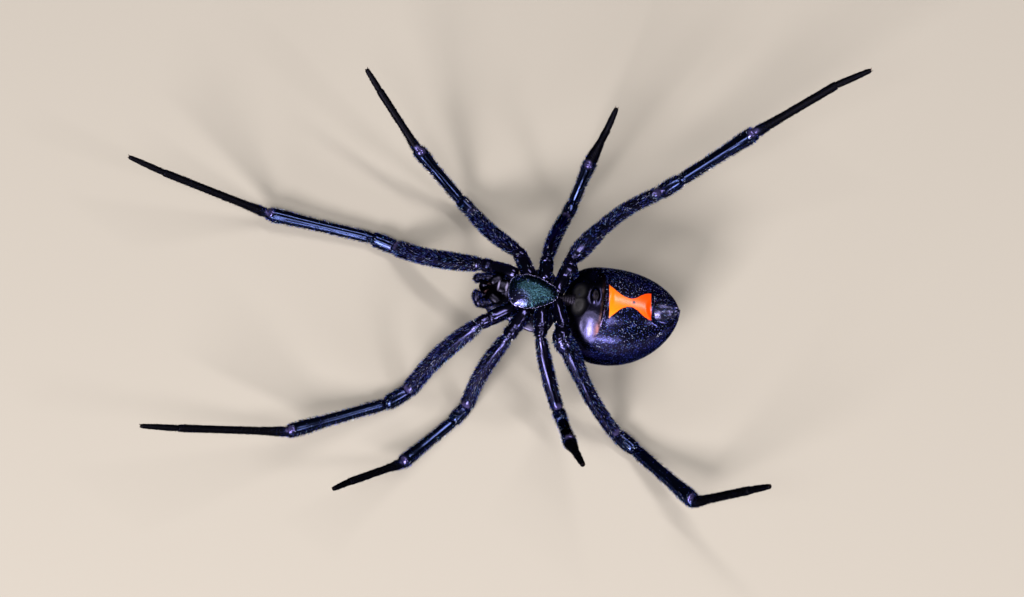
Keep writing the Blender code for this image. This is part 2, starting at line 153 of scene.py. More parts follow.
def island(x, y, form):
    """1 on the form, with its own soft edge."""
    return plateau(oval(x, y, form), form["softness"])


def abdomen_round(u, v):
    """The plain globe; u runs round it from the spider's left over the belly, v from waist to tail."""
    share = 0.5 - 0.5 * np.cos(np.pi * v)
    x = abdomen_low.x + (abdomen_high.x - abdomen_low.x) * share
    before = share < ABDOMEN_WIDEST
    away = np.where(before, 1 - share / ABDOMEN_WIDEST, (share - ABDOMEN_WIDEST) / (1 - ABDOMEN_WIDEST))
    (power, root), (hind_power, hind_root) = ABDOMEN_CURVES
    thick = np.where(before, (1 - away**power).clip(0) ** root, (1 - away**hind_power).clip(0) ** hind_root)
    tip = ABDOMEN_TIPS[0] + (ABDOMEN_TIPS[1] - ABDOMEN_TIPS[0]) * share
    across, over = np.cos(2 * np.pi * u), np.sin(2 * np.pi * u)
    y = across * thick * (abdomen_high.y - ABDOMEN_COAT)
    top = (abdomen_high.z - ABDOMEN_COAT - tip) * thick
    bottom = (tip - ABDOMEN_COAT) * thick
    z = tip + (top - bottom) / 2 + over * (top + bottom) / 2
    swell = FRONT_BULGE["reach"] * bump(np.abs(z - FRONT_BULGE["height"]) / FRONT_BULGE["spread"])
    return np.stack((x - swell * bump(share / ABDOMEN_WIDEST), y, z), axis=-1)


def stands_out(surface, u, v):
    """The way out of a surface, and the area that a step of u and v covers."""
    v = np.clip(v, STEP, 1 - STEP)
    along = (surface(u, v + STEP) - surface(u, v - STEP)) / (2 * STEP)
    around = (surface(u + STEP, v) - surface(u - STEP, v)) / (2 * STEP)
    out = np.cross(along, around)
    area = np.linalg.norm(out, axis=-1)
    along /= np.linalg.norm(along, axis=-1)[:, None].clip(WELD)
    return out / area[:, None].clip(WELD**2), along, area


def crease_line(y):
    """Where the crease runs; it bows forwards at its ends."""
    return CREASE["place"] - CREASE["bow"] * (y / CREASE["half_length"]) ** 2


def crease_band(x, y, half_width):
    """1 in the middle of the crease across the belly."""
    return bump(np.abs(y) / CREASE["half_length"]) * bump(np.abs(x - crease_line(y)) / half_width)


def front_plates(x, y):
    """1 on the bare plates in front of the crease."""
    return np.clip((crease_line(y) - x) / PLATE_EDGE, 0, 1) * island(x, y, FRONT_PLATES)


def belly_relief(x, y):
    """How far the belly stands out of the plain globe."""
    side = np.abs(y)
    crease = CREASE["depth"] * crease_band(x, y, CREASE["half_width"])
    lip = CREASE_LIP["height"] * crease_band(x - CREASE_LIP["behind"], y, CREASE_LIP["half_width"])
    cover = spot(x, side, LUNG_COVER)
    lobes = FRONT_LOBE["rise"] * island(x, side, FRONT_LOBE)
    middle = spot(x, y, EPIGYNUM) + EPIGYNUM_PIT["rise"] * island(x, y, EPIGYNUM_PIT)
    mound = SPINNERET_MOUND["rise"] * island(x, y, SPINNERET_MOUND)
    return cover + lobes + middle + mound + lip - crease


def back_relief(x, y):
    """The muscle pits of the back, in two rows."""
    pits = sum(bump(np.hypot(x - px, np.abs(y) - py) / DIMPLE["size"]) for px, py in BACK_DIMPLES)
    return -DIMPLE["depth"] * pits


def abdomen_surface(u, v):
    point = abdomen_round(u, v)
    out, _, _ = stands_out(abdomen_round, u, v)
    x, y = point[..., 0], point[..., 1]
    over = np.sin(2 * np.pi * u)
    height = np.where(over > 0, belly_relief(x, y) * over.clip(0), back_relief(x, y) * (-over).clip(0))
    ends = np.clip(np.minimum(v, 1 - v) / RELIEF_FADE, 0, 1)
    point = point + out * (height * ends)[..., None]
    point[..., 2] = np.maximum(point[..., 2], 0.0)
    return point


def wrapped(grid, surface, marks=None):
    """A closed skin rolled from a grid: surface(u, v) gives its points, marks(u, v) its painted masks."""
    around, along = grid
    bm = bmesh.new()
    bm.loops.layers.uv.new("skin")
    bmesh.ops.create_grid(bm, x_segments=around, y_segments=along, size=0.5, calc_uvs=True)
    flat = np.array([vertex.co for vertex in bm.verts], float) + 0.5
    u, v = flat[:, 0], flat[:, 1]
    for vertex, point in zip(bm.verts, surface(u, v)):
        vertex.co = point
    for name, values in (marks(u, v) if marks else {}).items():
        layer = bm.verts.layers.float.new(name)
        for vertex, value in zip(bm.verts, values):
            vertex[layer] = value
    bmesh.ops.remove_doubles(bm, verts=bm.verts, dist=WELD)
    bmesh.ops.dissolve_degenerate(bm, edges=bm.edges, dist=WELD)
    bmesh.ops.recalc_face_normals(bm, faces=bm.faces)
    return bm


def joined(meshes):
    """Several skins as one mesh."""
    whole = bmesh.new()
    for bm in meshes:
        part = bpy.data.meshes.new("part")
        bm.to_mesh(part)
        bm.free()
        whole.from_mesh(part)
        bpy.data.meshes.remove(part)
    return whole


def piece(name, bm, finish, slot, *nodes):
    """A finished piece of the animal, brought to metres; it stands for the solids named last."""
    bmesh.ops.scale(bm, vec=(MM, MM, MM), verts=bm.verts)
    mesh = bpy.data.meshes.new(name)
    bm.to_mesh(mesh)
    bm.free()
    mesh.shade_smooth()
    mesh.materials.append(finish)
    obj = placed(name, mesh)
    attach(obj, "root")
    if nodes:
        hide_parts(*nodes)


def add(tree, kind, inputs=None, **settings):
    """A shader node with its settings, and its inputs as plain values or as another node's output."""
    made = tree.nodes.new("ShaderNode" + kind)
    for key, value in settings.items():
        setattr(made, key, value)
    for key, value in (inputs or {}).items():
        if isinstance(value, bpy.types.NodeSocket):
            tree.links.new(value, made.inputs[key])
        else:
            made.inputs[key].default_value = value
    return made


def work(tree, operation, first, second=0.0, third=0.0, clamp=False):
    """A sum done by a node."""
    made = add(tree, "Math", {0: first, 1: second, 2: third}, operation=operation, use_clamp=clamp)
    return made.outputs[0]


def mix_colour(tree, share, low, high):
    made = add(tree, "Mix", {"Factor": share}, data_type="RGBA")
    for socket, value in (("A", low), ("B", high)):
        target = next(s for s in made.inputs if s.name == socket and s.type == "RGBA")
        if isinstance(value, bpy.types.NodeSocket):
            tree.links.new(value, target)
        else:
            target.default_value = (*value, 1.0)
    return next(s for s in made.outputs if s.type == "RGBA")


def mix_number(tree, share, low, high):
    difference = work(tree, "SUBTRACT", high, low)
    return work(tree, "MULTIPLY_ADD", difference, share, low)


def new_group(name, inputs, outputs):
    """An empty node group with number inputs and the named outputs, and its two end nodes."""
    tree = bpy.data.node_groups.new(name, "ShaderNodeTree")
    for label in inputs:
        tree.interface.new_socket(label, in_out="INPUT", socket_type="NodeSocketFloat")
    for label, kind in outputs:
        tree.interface.new_socket(label, in_out="OUTPUT", socket_type="NodeSocket" + kind)
    return tree, tree.nodes.new("NodeGroupInput"), tree.nodes.new("NodeGroupOutput")


HOURGLASS_X = (-0.33, 1.90)  # from its front edge to its hind edge
HOURGLASS_SLANT = 0.10
HOURGLASS_CURVE = (  # share of its length, half width
    (0.0, 0.93), (0.16, 0.62), (0.34, 0.33), (0.52, 0.23),
    (0.64, 0.32), (0.80, 0.57), (0.92, 0.70), (1.0, 0.73),
)
HOURGLASS_EDGE = 0.035
HOURGLASS_LOWEST = 4.0  # the back, below this height, has no mark
RAGGED = dict(grain=9.0, reach=0.07)  # how far its edge strays, and how finely
SPECK_X, SPECK_Y, SPECK_REACH = 0.97, 0.05, 0.13
AMBER, SCARLET, BLACK = (0.94, 0.18, 0.003), (0.92, 0.060, 0.0), (0.0, 0.0, 0.0)
CELLS = dict(grain=22.0, share=0.45)  # scarlet grains scattered in the amber
WARM_START, WARM_ASIDE = -0.12, 0.12  # where scarlet begins, and how much sooner it does to one side


def place_in_mm(tree):
    """The place on the model, for textures sized in millimetres."""
    place = add(tree, "TexCoord").outputs["Object"]
    return add(tree, "VectorMath", {0: place, "Scale": 1 / MM}, operation="SCALE").outputs[0]


def hourglass_group():
    """Where the hourglass lies, and its colour: amber, then scarlet, with a black speck in its waist."""
    tree, given, result = new_group("hourglass", ["Edge"], [("Mask", "Float"), ("Colour", "Color")])
    in_mm = place_in_mm(tree)
    noise = {"Vector": in_mm, "Scale": RAGGED["grain"], "Detail": 3.0}
    ragged = add(tree, "TexNoise", noise).outputs["Color"]
    moved = add(tree, "VectorMath", {0: ragged, 1: (0.5, 0.5, 0.5)}, operation="SUBTRACT").outputs[0]
    moved = add(tree, "VectorMath", {0: moved, "Scale": RAGGED["reach"]}, operation="SCALE").outputs[0]
    moved = add(tree, "VectorMath", {0: moved, 1: in_mm}, operation="ADD").outputs[0]
    along, across, height = add(tree, "SeparateXYZ", {0: moved}).outputs
    x = work(tree, "MULTIPLY_ADD", across, HOURGLASS_SLANT, along)
    start, end = HOURGLASS_X
    share = work(tree, "DIVIDE", work(tree, "SUBTRACT", x, start), end - start)
    curve = add(tree, "FloatCurve", {"Value": share})
    points = curve.mapping.curves[0].points
    while len(points) < len(HOURGLASS_CURVE):
        points.new(0.5, 0.5)
    for point, place in zip(points, HOURGLASS_CURVE):
        point.location = place
    curve.mapping.update()
    inside = work(tree, "SUBTRACT", curve.outputs[0], work(tree, "ABSOLUTE", across))
    inside = work(tree, "MINIMUM", inside, work(tree, "SUBTRACT", x, start))
    inside = work(tree, "MINIMUM", inside, work(tree, "SUBTRACT", end, x))
    soft = work(tree, "ADD", work(tree, "DIVIDE", inside, given.outputs["Edge"]), 0.5, clamp=True)
    mask = work(tree, "MULTIPLY", soft, work(tree, "GREATER_THAN", height, HOURGLASS_LOWEST))
    speck_x, speck_y = work(tree, "SUBTRACT", along, SPECK_X), work(tree, "SUBTRACT", across, SPECK_Y)
    squares = work(tree, "MULTIPLY_ADD", speck_x, speck_x, work(tree, "MULTIPLY", speck_y, speck_y))
    clear = work(tree, "DIVIDE", work(tree, "SQRT", squares), SPECK_REACH, clamp=True)
    cells = add(tree, "TexVoronoi", {"Vector": in_mm, "Scale": CELLS["grain"]}).outputs["Distance"]
    warm = work(tree, "MULTIPLY_ADD", across, WARM_ASIDE, share)
    warm = work(tree, "ADD", warm, WARM_START)
    warm = work(tree, "MULTIPLY_ADD", cells, CELLS["share"], warm, clamp=True)
    glow = mix_colour(tree, warm, AMBER, SCARLET)
    colour = mix_colour(tree, work(tree, "POWER", clear, 3.0), BLACK, glow)
    tree.links.new(mask, result.inputs["Mask"])
    tree.links.new(colour, result.inputs["Colour"])
    return tree


RIPPLE, CLOUD, DENTS = (7.0, 4.0), (1.6, 3.0), (1.7, 2.0)  # each a noise: its grain per mm and its detail
RIPPLE_SHARE = 0.8


def grain_group():
    """The fine, pitted grain of cuticle: a height, and a slow cloudiness."""
    outputs = [("Height", "Float"), ("Cloud", "Float")]
    tree, given, result = new_group("cuticle_grain", ["Grain per mm", "Dents"], outputs)
    in_mm = place_in_mm(tree)
    grain = given.outputs["Grain per mm"]
    pits = add(tree, "TexVoronoi", {"Vector": in_mm, "Scale": grain}).outputs["Distance"]
    ripple, cloud, dents = (
        add(tree, "TexNoise", {"Vector": in_mm, "Scale": scale, "Detail": detail}).outputs["Fac"]
        for scale, detail in (RIPPLE, CLOUD, DENTS)
    )
    height = work(tree, "MULTIPLY_ADD", ripple, RIPPLE_SHARE, pits)
    height = work(tree, "MULTIPLY_ADD", dents, given.outputs["Dents"], height)
    tree.links.new(height, result.inputs["Height"])
    tree.links.new(cloud, result.inputs["Cloud"])
    return tree


HOURGLASS = hourglass_group()
GRAIN = grain_group()
DARK_RIM = (0.06, 0.055, 0.10)
CLOUD_TINTS = (0.6, 1.4)  # shares of the gleam, in its dim and its bright places
CLOUD_ROUGHNESS = 0.16  # how much rougher the rough places are than the smooth ones


def new_material(name):
    made = bpy.data.materials.new(name)
    made.use_nodes = True
    return made, made.node_tree, made.node_tree.nodes["Principled BSDF"]


def cuticle(name, gleam, roughness, grain, depth, dents=0.0):
    """Hard black skin: what little it throws back is its gleam, and its rim stays dark."""
    made, tree, shader = new_material(name)
    fine = add(tree, "Group", {"Grain per mm": grain, "Dents": dents}, node_tree=GRAIN)
    cloud = fine.outputs["Cloud"]
    dim, bright = (tuple(channel * share for channel in gleam) for share in CLOUD_TINTS)
    tint = mix_colour(tree, cloud, dim, bright)
    rough = work(tree, "MULTIPLY_ADD", cloud, CLOUD_ROUGHNESS, roughness - CLOUD_ROUGHNESS / 2)
    relief = add(tree, "Bump", {"Height": fine.outputs["Height"], "Distance": depth * MM, "Strength": 1.0})
    tree.links.new(relief.outputs["Normal"], shader.inputs["Normal"])
    shader.inputs["Metallic"].default_value = 1.0
    shader.inputs["Specular Tint"].default_value = (*DARK_RIM, 1.0)
    return made, tree, shader, tint, rough


def finish_with(tree, shader, tint, rough, soft=None):
    """Sets the finish; soft is where the skin is no hard shell but shows its own colour."""
    tree.links.new(tint, shader.inputs["Base Color"])
    tree.links.new(rough, shader.inputs["Roughness"])
    if soft:
        tree.links.new(work(tree, "SUBTRACT", 1.0, soft, clamp=True), shader.inputs["Metallic"])


def plain_cuticle(name, gleam, **look):
    """Cuticle with nothing painted on it."""
    made, tree, shader, tint, rough = cuticle(name, gleam, **look)
    finish_with(tree, shader, tint, rough)
    return made


def painted(tree, name):
    """The value of a mask that is painted on the mesh."""
    return add(tree, "Attribute", attribute_name=name).outputs["Fac"]


def tinted(tree, tint, layers):
    """A tint with other colours laid over it, each where its mask is painted."""
    for mask, colour in layers:
        tint = mix_colour(tree, painted(tree, mask), tint, colour)
    return tint


# The near-black laid in the epigynum's pit is painted shade in that hollow.
BELLY_TINTS = (  # painted mask, colour
    ("plate", (0.011, 0.010, 0.021)), ("cover", (0.038, 0.035, 0.092)), ("lobe", (0.060, 0.057, 0.060)),
    ("furrow", (0.10, 0.046, 0.034)), ("brown", (0.024, 0.010, 0.010)), ("pit", (0.006, 0.005, 0.007)),
)
PLATE_ROUGHNESS, LOBE_ROUGHNESS = 0.26, 0.5
HOURGLASS_GLOSS, GLOSS_ROUGHNESS = 0.6, 0.22

belly, tree, shader, tint, rough = cuticle(
    "abdomen_cuticle", (0.022, 0.021, 0.060), roughness=0.17, grain=22.0, depth=0.0020, dents=12.0,
)
tint = tinted(tree, tint, BELLY_TINTS)
rough = mix_number(tree, painted(tree, "plate"), rough, PLATE_ROUGHNESS)
rough = mix_number(tree, painted(tree, "lobe"), rough, LOBE_ROUGHNESS)
marking = add(tree, "Group", {"Edge": HOURGLASS_EDGE}, node_tree=HOURGLASS).outputs
tint = mix_colour(tree, marking["Mask"], tint, marking["Colour"])
finish_with(tree, shader, tint, rough, marking["Mask"])
tree.links.new(work(tree, "MULTIPLY", marking["Mask"], HOURGLASS_GLOSS), shader.inputs["Coat Weight"])
shader.inputs["Coat Roughness"].default_value = GLOSS_ROUGHNESS


def abdomen_marks(u, v):
    x, y, _ = abdomen_surface(u, v).T
    side = np.abs(y)
    masks = {
        "plate": front_plates(x, y),
        "lobe": island(x, side, FRONT_LOBE),
        "furrow": crease_band(x + CREASE_SKIN["ahead"], y, CREASE_SKIN["half_width"]),
        "pit": island(x, y, EPIGYNUM_PIT),
        "brown": spot(x, side, BROWN_PATCH) * front_plates(x, y),
        "cover": spot(x, side, COVER_WINDOW) + spot(x, y, EPIGYNUM_GLOSS),
    }
    belly_side = np.sin(2 * np.pi * u) > 0
    return {name: values * belly_side for name, values in masks.items()}


abdomen_skin = wrapped(ABDOMEN_GRID, abdomen_surface, abdomen_marks)
piece("abdomen_skin", abdomen_skin, belly, "abdomen_shell", "abdomen")

# The carapace is the hard shield of the front body. The animal lies on it, so it faces the floor.
# A raised head with the eyes runs into the rounder chest behind, where grooves meet in a pit.
CARAPACE_EDGE = 3.9
CARAPACE_UNDERSIDE = 0.35
CARAPACE_X = (-7.0, -2.90)
CARAPACE_HALF_WIDTHS = (
    (-7.0, 0.52), (-6.75, 0.82), (-6.25, 1.04), (-5.5, 1.27),
    (-4.8, 1.60), (-4.15, 1.76), (-3.55, 1.72), (-2.9, 1.38),
)
CARAPACE_DEPTHS = (
    (-7.0, 0.40), (-6.75, 0.58), (-6.25, 0.72), (-5.5, 0.70),
    (-4.8, 0.64), (-4.15, 0.58), (-3.55, 0.54), (-2.9, 0.42),
)
CARAPACE_ENDS = (0.10, 0.16)  # shares of its length that its front and its hind end take to close
CARAPACE_GRID = (128, 150)
CHEST_PIT = dict(place=(-4.35, 0.0), size=(0.14, 0.30), rise=-0.12)
CHEST_GROOVES = (  # from where to where each runs
    ((-4.5, 0.12), (-5.75, 1.15)), ((-4.4, 0.2), (-4.85, 1.45)),
    ((-4.3, 0.2), (-3.95, 1.5)), ((-4.25, 0.15), (-3.25, 1.0)),
)
GROOVE = dict(depth=0.05, half_width=0.10)


def end_round(share, front, behind):
    """Closes a form at both ends with a round nose; front and behind are shares of its length."""
    nose = 1 - np.clip(share / front, 0, 1)
    tail = 1 - np.clip((1 - share) / behind, 0, 1)
    return np.sqrt((1 - nose**2) * (1 - tail**2))


def beside(x, y, start, end):
    """How far a point lies from a straight line between two places."""
    along = np.array(end) - np.array(start)
    reach = np.clip(((x - start[0]) * along[0] + (y - start[1]) * along[1]) / (along @ along), 0, 1)
    return np.hypot(x - start[0] - along[0] * reach, y - start[1] - along[1] * reach)


def carapace_surface(u, v):
    share = 0.5 - 0.5 * np.cos(np.pi * v)
    x = CARAPACE_X[0] + (CARAPACE_X[1] - CARAPACE_X[0]) * share
    full = end_round(share, *CARAPACE_ENDS)
    across, over = np.cos(2 * np.pi * u), np.sin(2 * np.pi * u)
    y = across * flow(CARAPACE_HALF_WIDTHS, x) * full
    grooves = sum(bump(beside(x, np.abs(y), *groove) / GROOVE["half_width"]) for groove in CHEST_GROOVES)
    sunk = GROOVE["depth"] * grooves - spot(x, y, CHEST_PIT)
    depth = np.where(over > 0, CARAPACE_UNDERSIDE, flow(CARAPACE_DEPTHS, x) - sunk)
    return np.stack((x, y, CARAPACE_EDGE + over * depth * full), axis=-1)


shield = plain_cuticle("carapace_cuticle", (0.024, 0.022, 0.040), roughness=0.28, grain=20.0, depth=0.002)
carapace = wrapped(CARAPACE_GRID, carapace_surface)
piece("carapace_skin", carapace, shield, "breast_shell", "cephalothorax")

# The breastplate, or sternum, is a heart-shaped plate with a fine granular face and a pale thin rim.
# Soft, wrinkled skin joins it to the carapace round the roots of the legs, in one piece with it here.
STERNUM_CENTRE = (-4.42, 0.0)
STERNUM_OUTLINE = (  # degrees from the front, distance from the centre
    (0, 1.27), (22, 1.29), (42, 1.25), (58, 1.08), (75, 1.00),
    (100, 0.93), (127, 0.95), (150, 1.12), (165, 1.30), (180, 1.42),
)
STERNUM_NOTCHES = ((52, 0.02), (88, 0.03), (120, 0.03), (146, 0.02))  # where each leg's root lies against it
NOTCH_HALF_WIDTH = 13
STERNUM_PROFILE = (  # along the skin, share of the outline
    (0.0, 0.0), (0.20, 0.42), (0.36, 0.74), (0.46, 0.92), (0.50, 0.975), (0.535, 1.0), (0.57, 0.985),
    (0.60, 0.94), (0.66, 0.97), (0.80, 1.0), (0.90, 0.96), (0.96, 0.6), (1.0, 0.0),
)
STERNUM_HEIGHTS = (
    (0.0, 5.45), (0.20, 5.42), (0.36, 5.33), (0.45, 5.20), (0.48, 5.16), (0.505, 5.21), (0.525, 5.20),
    (0.555, 5.07), (0.60, 4.99), (0.66, 4.92), (0.80, 4.52), (0.90, 4.15), (0.96, 4.02), (1.0, 4.0),
)
STERNUM_GRID = (192, 150)
STERNUM_EDGE, STERNUM_MIDDLE = 0.555, 0.40  # how far along the skin each reaches
STERNUM_RIM = (0.515, 0.03)  # place along the skin, half width
# A violet, more reflective patch at the plate's lower left, on the spider's right, is a painted highlight
# where the key light falls; its granules are also lower there.
STERNUM_SMOOTH_HIGHLIGHT = dict(place=(-5.16, -0.50), size=(0.85, 0.72), rise=1.0)  # glossy, with low granules
STERNUM_SHADE = (0.004, 0.007, 0.013)  # its tint outside the middle
SIDE_SKIN_TINT = (0.016, 0.014, 0.024)
# The violet laid on that patch is a painted highlight; the rim colour is the pale thin rim.
STERNUM_TINTS = (("worn", (0.075, 0.070, 0.20)), ("rim", (0.20, 0.18, 0.34)))
SMOOTH_PATCH_GRAIN = -0.8  # what the granules lose of their height


def sternum_surface(u, v):
    turn = np.degrees(np.arccos(np.cos(2 * np.pi * u)))
    reach = flow(STERNUM_OUTLINE, turn)
    for at, depth in STERNUM_NOTCHES:
        reach = reach - depth * bump(np.abs(turn - at) / NOTCH_HALF_WIDTH)
    share = flow(STERNUM_PROFILE, v)
    x = STERNUM_CENTRE[0] - reach * share * np.cos(2 * np.pi * u)
    y = -reach * share * np.sin(2 * np.pi * u)
    return np.stack((x, y, flow(STERNUM_HEIGHTS, v)), axis=-1)


def sternum_marks(u, v):
    x, y, _ = sternum_surface(u, v).T
    rim, rim_half_width = STERNUM_RIM
    return {
        "plate": plateau(v / STERNUM_EDGE, 0.04),
        "deep": plateau(v / STERNUM_MIDDLE, 0.9),
        "rim": bump(np.abs(v - rim) / rim_half_width),
        "worn": spot(x, y, STERNUM_SMOOTH_HIGHLIGHT),
    }


breast, tree, shader, tint, rough = cuticle(
    "sternum_cuticle", (0.017, 0.043, 0.057), roughness=0.22, grain=13.0, depth=0.014,
)
tint = mix_colour(tree, painted(tree, "deep"), STERNUM_SHADE, tint)
tint = mix_colour(tree, painted(tree, "plate"), SIDE_SKIN_TINT, tint)
tint = tinted(tree, tint, STERNUM_TINTS)
low_grain = work(tree, "MULTIPLY_ADD", painted(tree, "worn"), SMOOTH_PATCH_GRAIN, 1.0)
tree.links.new(low_grain, shader.inputs["Normal"].links[0].from_node.inputs["Strength"])
finish_with(tree, shader, tint, rough)
piece("sternum_skin", wrapped(STERNUM_GRID, sternum_surface, sternum_marks), breast, "breast_shell")

# The waist, or pedicel, is a thin stalk of soft, ringed skin. It grows out of the back of the front
# body and runs on into the abdomen, so that the two can bend against each other.
WAIST_RADII = ((0.0, 0.24), (0.4, 0.26), (0.75, 0.36), (1.0, 0.46))  # share of its length, radius
WAIST_RINGS = dict(height=0.018, turn=60)  # radians of their wave from end to end
WAIST = dict(
    route=((-3.3, 0, 4.6), (-2.75, 0, 4.56), (-2.45, 0, 4.54), (-2.1, 0, 4.52)),
    ends=(0.04, 0.04), grid=(48, 90),
)


AHEAD = 0.01  # share of its length over which a tube's direction is taken
NEARLY_UPRIGHT = 0.9


def tube_surface(route, radii, ends, flat=1.0):
    """The skin of a bent tube with round ends; radii are (share of the length, radius) pairs."""
    route = np.array(route, float)
    reach = np.concatenate(([0], np.cumsum(np.linalg.norm(np.diff(route, axis=0), axis=1))))
    reach /= reach[-1]

    def centre(v):
        return np.stack([flow(np.stack((reach, route[:, i]), axis=1), v) for i in range(3)], axis=-1)

    def surface(u, v):
        v = np.clip(v, 0, 1)
        ahead = centre(np.clip(v + AHEAD, 0, 1)) - centre(np.clip(v - AHEAD, 0, 1))
        ahead /= np.linalg.norm(ahead, axis=-1)[:, None]
        upright = np.where(np.abs(ahead[:, 2:]) > NEARLY_UPRIGHT, (1.0, 0.0, 0.0), (0.0, 0.0, 1.0))
        across = np.cross(ahead, upright)
        across /= np.linalg.norm(across, axis=-1)[:, None]
        over = np.cross(across, ahead)
        radius = (flow(radii, v) * end_round(v, *ends))[:, None]
        turn = 2 * np.pi * u[:, None]
        return centre(v) + radius * (across * np.cos(turn) + over * np.sin(turn) * flat)

    return surface


def tube_skin(route, radii, ends, grid, flat=1.0, side=1):
    """The closed skin of a bent tube; side -1 puts it on the spider's right."""
    route = [(x, side * y, z) for x, y, z in route]
    return wrapped(grid, tube_surface(route, radii, ends, flat))


share = np.linspace(0, 1, WAIST_RINGS["turn"] + 1)
ringed = flow(WAIST_RADII, share) + WAIST_RINGS["height"] * np.cos(share * WAIST_RINGS["turn"])
waist = tube_skin(radii=np.stack((share, ringed), axis=1), **WAIST)
soft = plain_cuticle("soft_skin", (0.030, 0.026, 0.040), roughness=0.42, grain=16.0, depth=0.004)
piece("waist_skin", waist, soft, "breast_shell", "pedicel")

# The mouth lies in front of the breastplate: a small lip, the labium, between two endites, the
# chewing plates that belong to the palps. All are hard and black, and two pale bars cross the lip.
LABIUM = dict(place=(-5.99, 0.14, 5.13), size=(0.32, 0.36, 0.16))
LABIUM_GRID = (64, 48)
LABIUM_BARS = (-6.20, -5.76)  # where the pale bars cross it
BAR = dict(slant=0.1, pivot=0.16, half_width=0.085, middle=0.18, half_length=0.46, depth=0.05)
BAR_COLOUR = (0.26, 0.23, 0.38)
ENDITE = dict(
    route=((-6.05, 0.70, 4.92), (-6.25, 0.60, 5.02), (-6.48, 0.44, 5.04), (-6.66, 0.26, 4.98)),
    radii=((0.0, 0.20), (0.3, 0.25), (0.7, 0.24), (1.0, 0.15)), ends=(0.2, 0.16), grid=(40, 56), flat=0.8,
)
SIDES = (("left", 1), ("right", -1))


def pebble(place, size, squareness=2.6):
    """A rounded block: a ball with its sides drawn out towards a box."""
    def surface(u, v):
        turn, tilt = 2 * np.pi * u, np.pi * v
        ball = np.stack((np.sin(tilt) * np.cos(turn), -np.sin(tilt) * np.sin(turn), np.cos(tilt)), axis=-1)
        norm = (np.abs(ball) ** squareness).sum(axis=-1) ** (1 / squareness)
        return np.array(place) + ball / norm[:, None] * np.array(size)
    return surface


labium_surface = pebble(**LABIUM)


def lip_marks(u, v):
    x, y, z = labium_surface(u, v).T
    slant = BAR["slant"] * (y - BAR["pivot"])
    bars = sum(bump(np.abs(x - bar - slant) / BAR["half_width"]) for bar in LABIUM_BARS)
    on_top = z > LABIUM["place"][2] - BAR["depth"]
    return {"rim": bars * on_top * bump(np.abs(y - BAR["middle"]) / BAR["half_length"])}


lips, tree, shader, tint, rough = cuticle(
    "mouth_cuticle", (0.012, 0.011, 0.018), roughness=0.26, grain=30.0, depth=0.003,
)
rim = painted(tree, "rim")
finish_with(tree, shader, mix_colour(tree, rim, tint, BAR_COLOUR), rough, rim)
piece("labium_plate", wrapped(LABIUM_GRID, labium_surface, lip_marks), lips, "breast_shell")
for side_name, side in SIDES:
    piece(f"endite_{side_name}", tube_skin(side=side, **ENDITE), lips, "breast_shell")

# Each jaw, or chelicera, is a stout black cone that hangs from the front of the head, with a small
# curved fang hinged at its tip and folded across it. The fang is harder, and dark red-brown.
JAW = dict(
    route=((-6.80, 0.27, 3.75), (-6.93, 0.27, 4.12), (-6.99, 0.27, 4.55), (-6.93, 0.25, 5.02)),
    radii=((0.0, 0.22), (0.25, 0.25), (0.55, 0.255), (0.82, 0.23), (1.0, 0.17)),
    ends=(0.12, 0.10), grid=(48, 60),
)
FANG = dict(
    route=((-6.92, 0.27, 4.94), (-6.88, 0.24, 5.16), (-6.74, 0.17, 5.26), (-6.58, 0.12, 5.22)),
    radii=((0.0, 0.105), (0.4, 0.085), (0.75, 0.05), (1.0, 0.012)), ends=(0.02, 0.01), grid=(20, 40),
)

jaw = plain_cuticle("jaw_cuticle", (0.014, 0.013, 0.026), roughness=0.26, grain=22.0, depth=0.003)
horn = plain_cuticle("fang_horn", (0.013, 0.007, 0.008), roughness=0.22, grain=12.0, depth=0.0005)
for side_name, side in SIDES:
    chelicera = tube_skin(side=side, **JAW)
    piece(f"chelicera_skin_{side_name}", chelicera, jaw, "jaw_shell", f"chelicera_{side_name}")
    piece(f"fang_{side_name}", tube_skin(side=side, **FANG), horn, "jaw_shell")

# Eight simple eyes sit in two rows of four. Each is a glassy dome of clear, hard cuticle, set deep in
# the front of the carapace and grown in one piece with it.
EYE_RADIUS = 0.115
EYE_GRID = (28, 20)
EYE_ROWS = ((-6.86, (0.15, 0.48), 0.36), (-6.58, (0.21, 0.66), 0.55))  # along X, across, below the edge

glass, tree, shader, tint, rough = cuticle(
    "eye_lens", (0.045, 0.040, 0.042), roughness=0.10, grain=8.0, depth=0.0001,
)
finish_with(tree, shader, tint, rough)
shader.inputs["Coat Weight"].default_value = 1.0
shader.inputs["Coat Roughness"].default_value = 0.04
eye_number = 0
for along, places, depth in EYE_ROWS:
    for across in places:
        for side in (1, -1):
            eye_number += 1
            place = (along, side * across, CARAPACE_EDGE - depth)
            lens_dome = wrapped(EYE_GRID, pebble(place, (EYE_RADIUS,) * 3, squareness=2.0))
            piece(f"eye_{eye_number}", lens_dome, glass, "breast_shell")

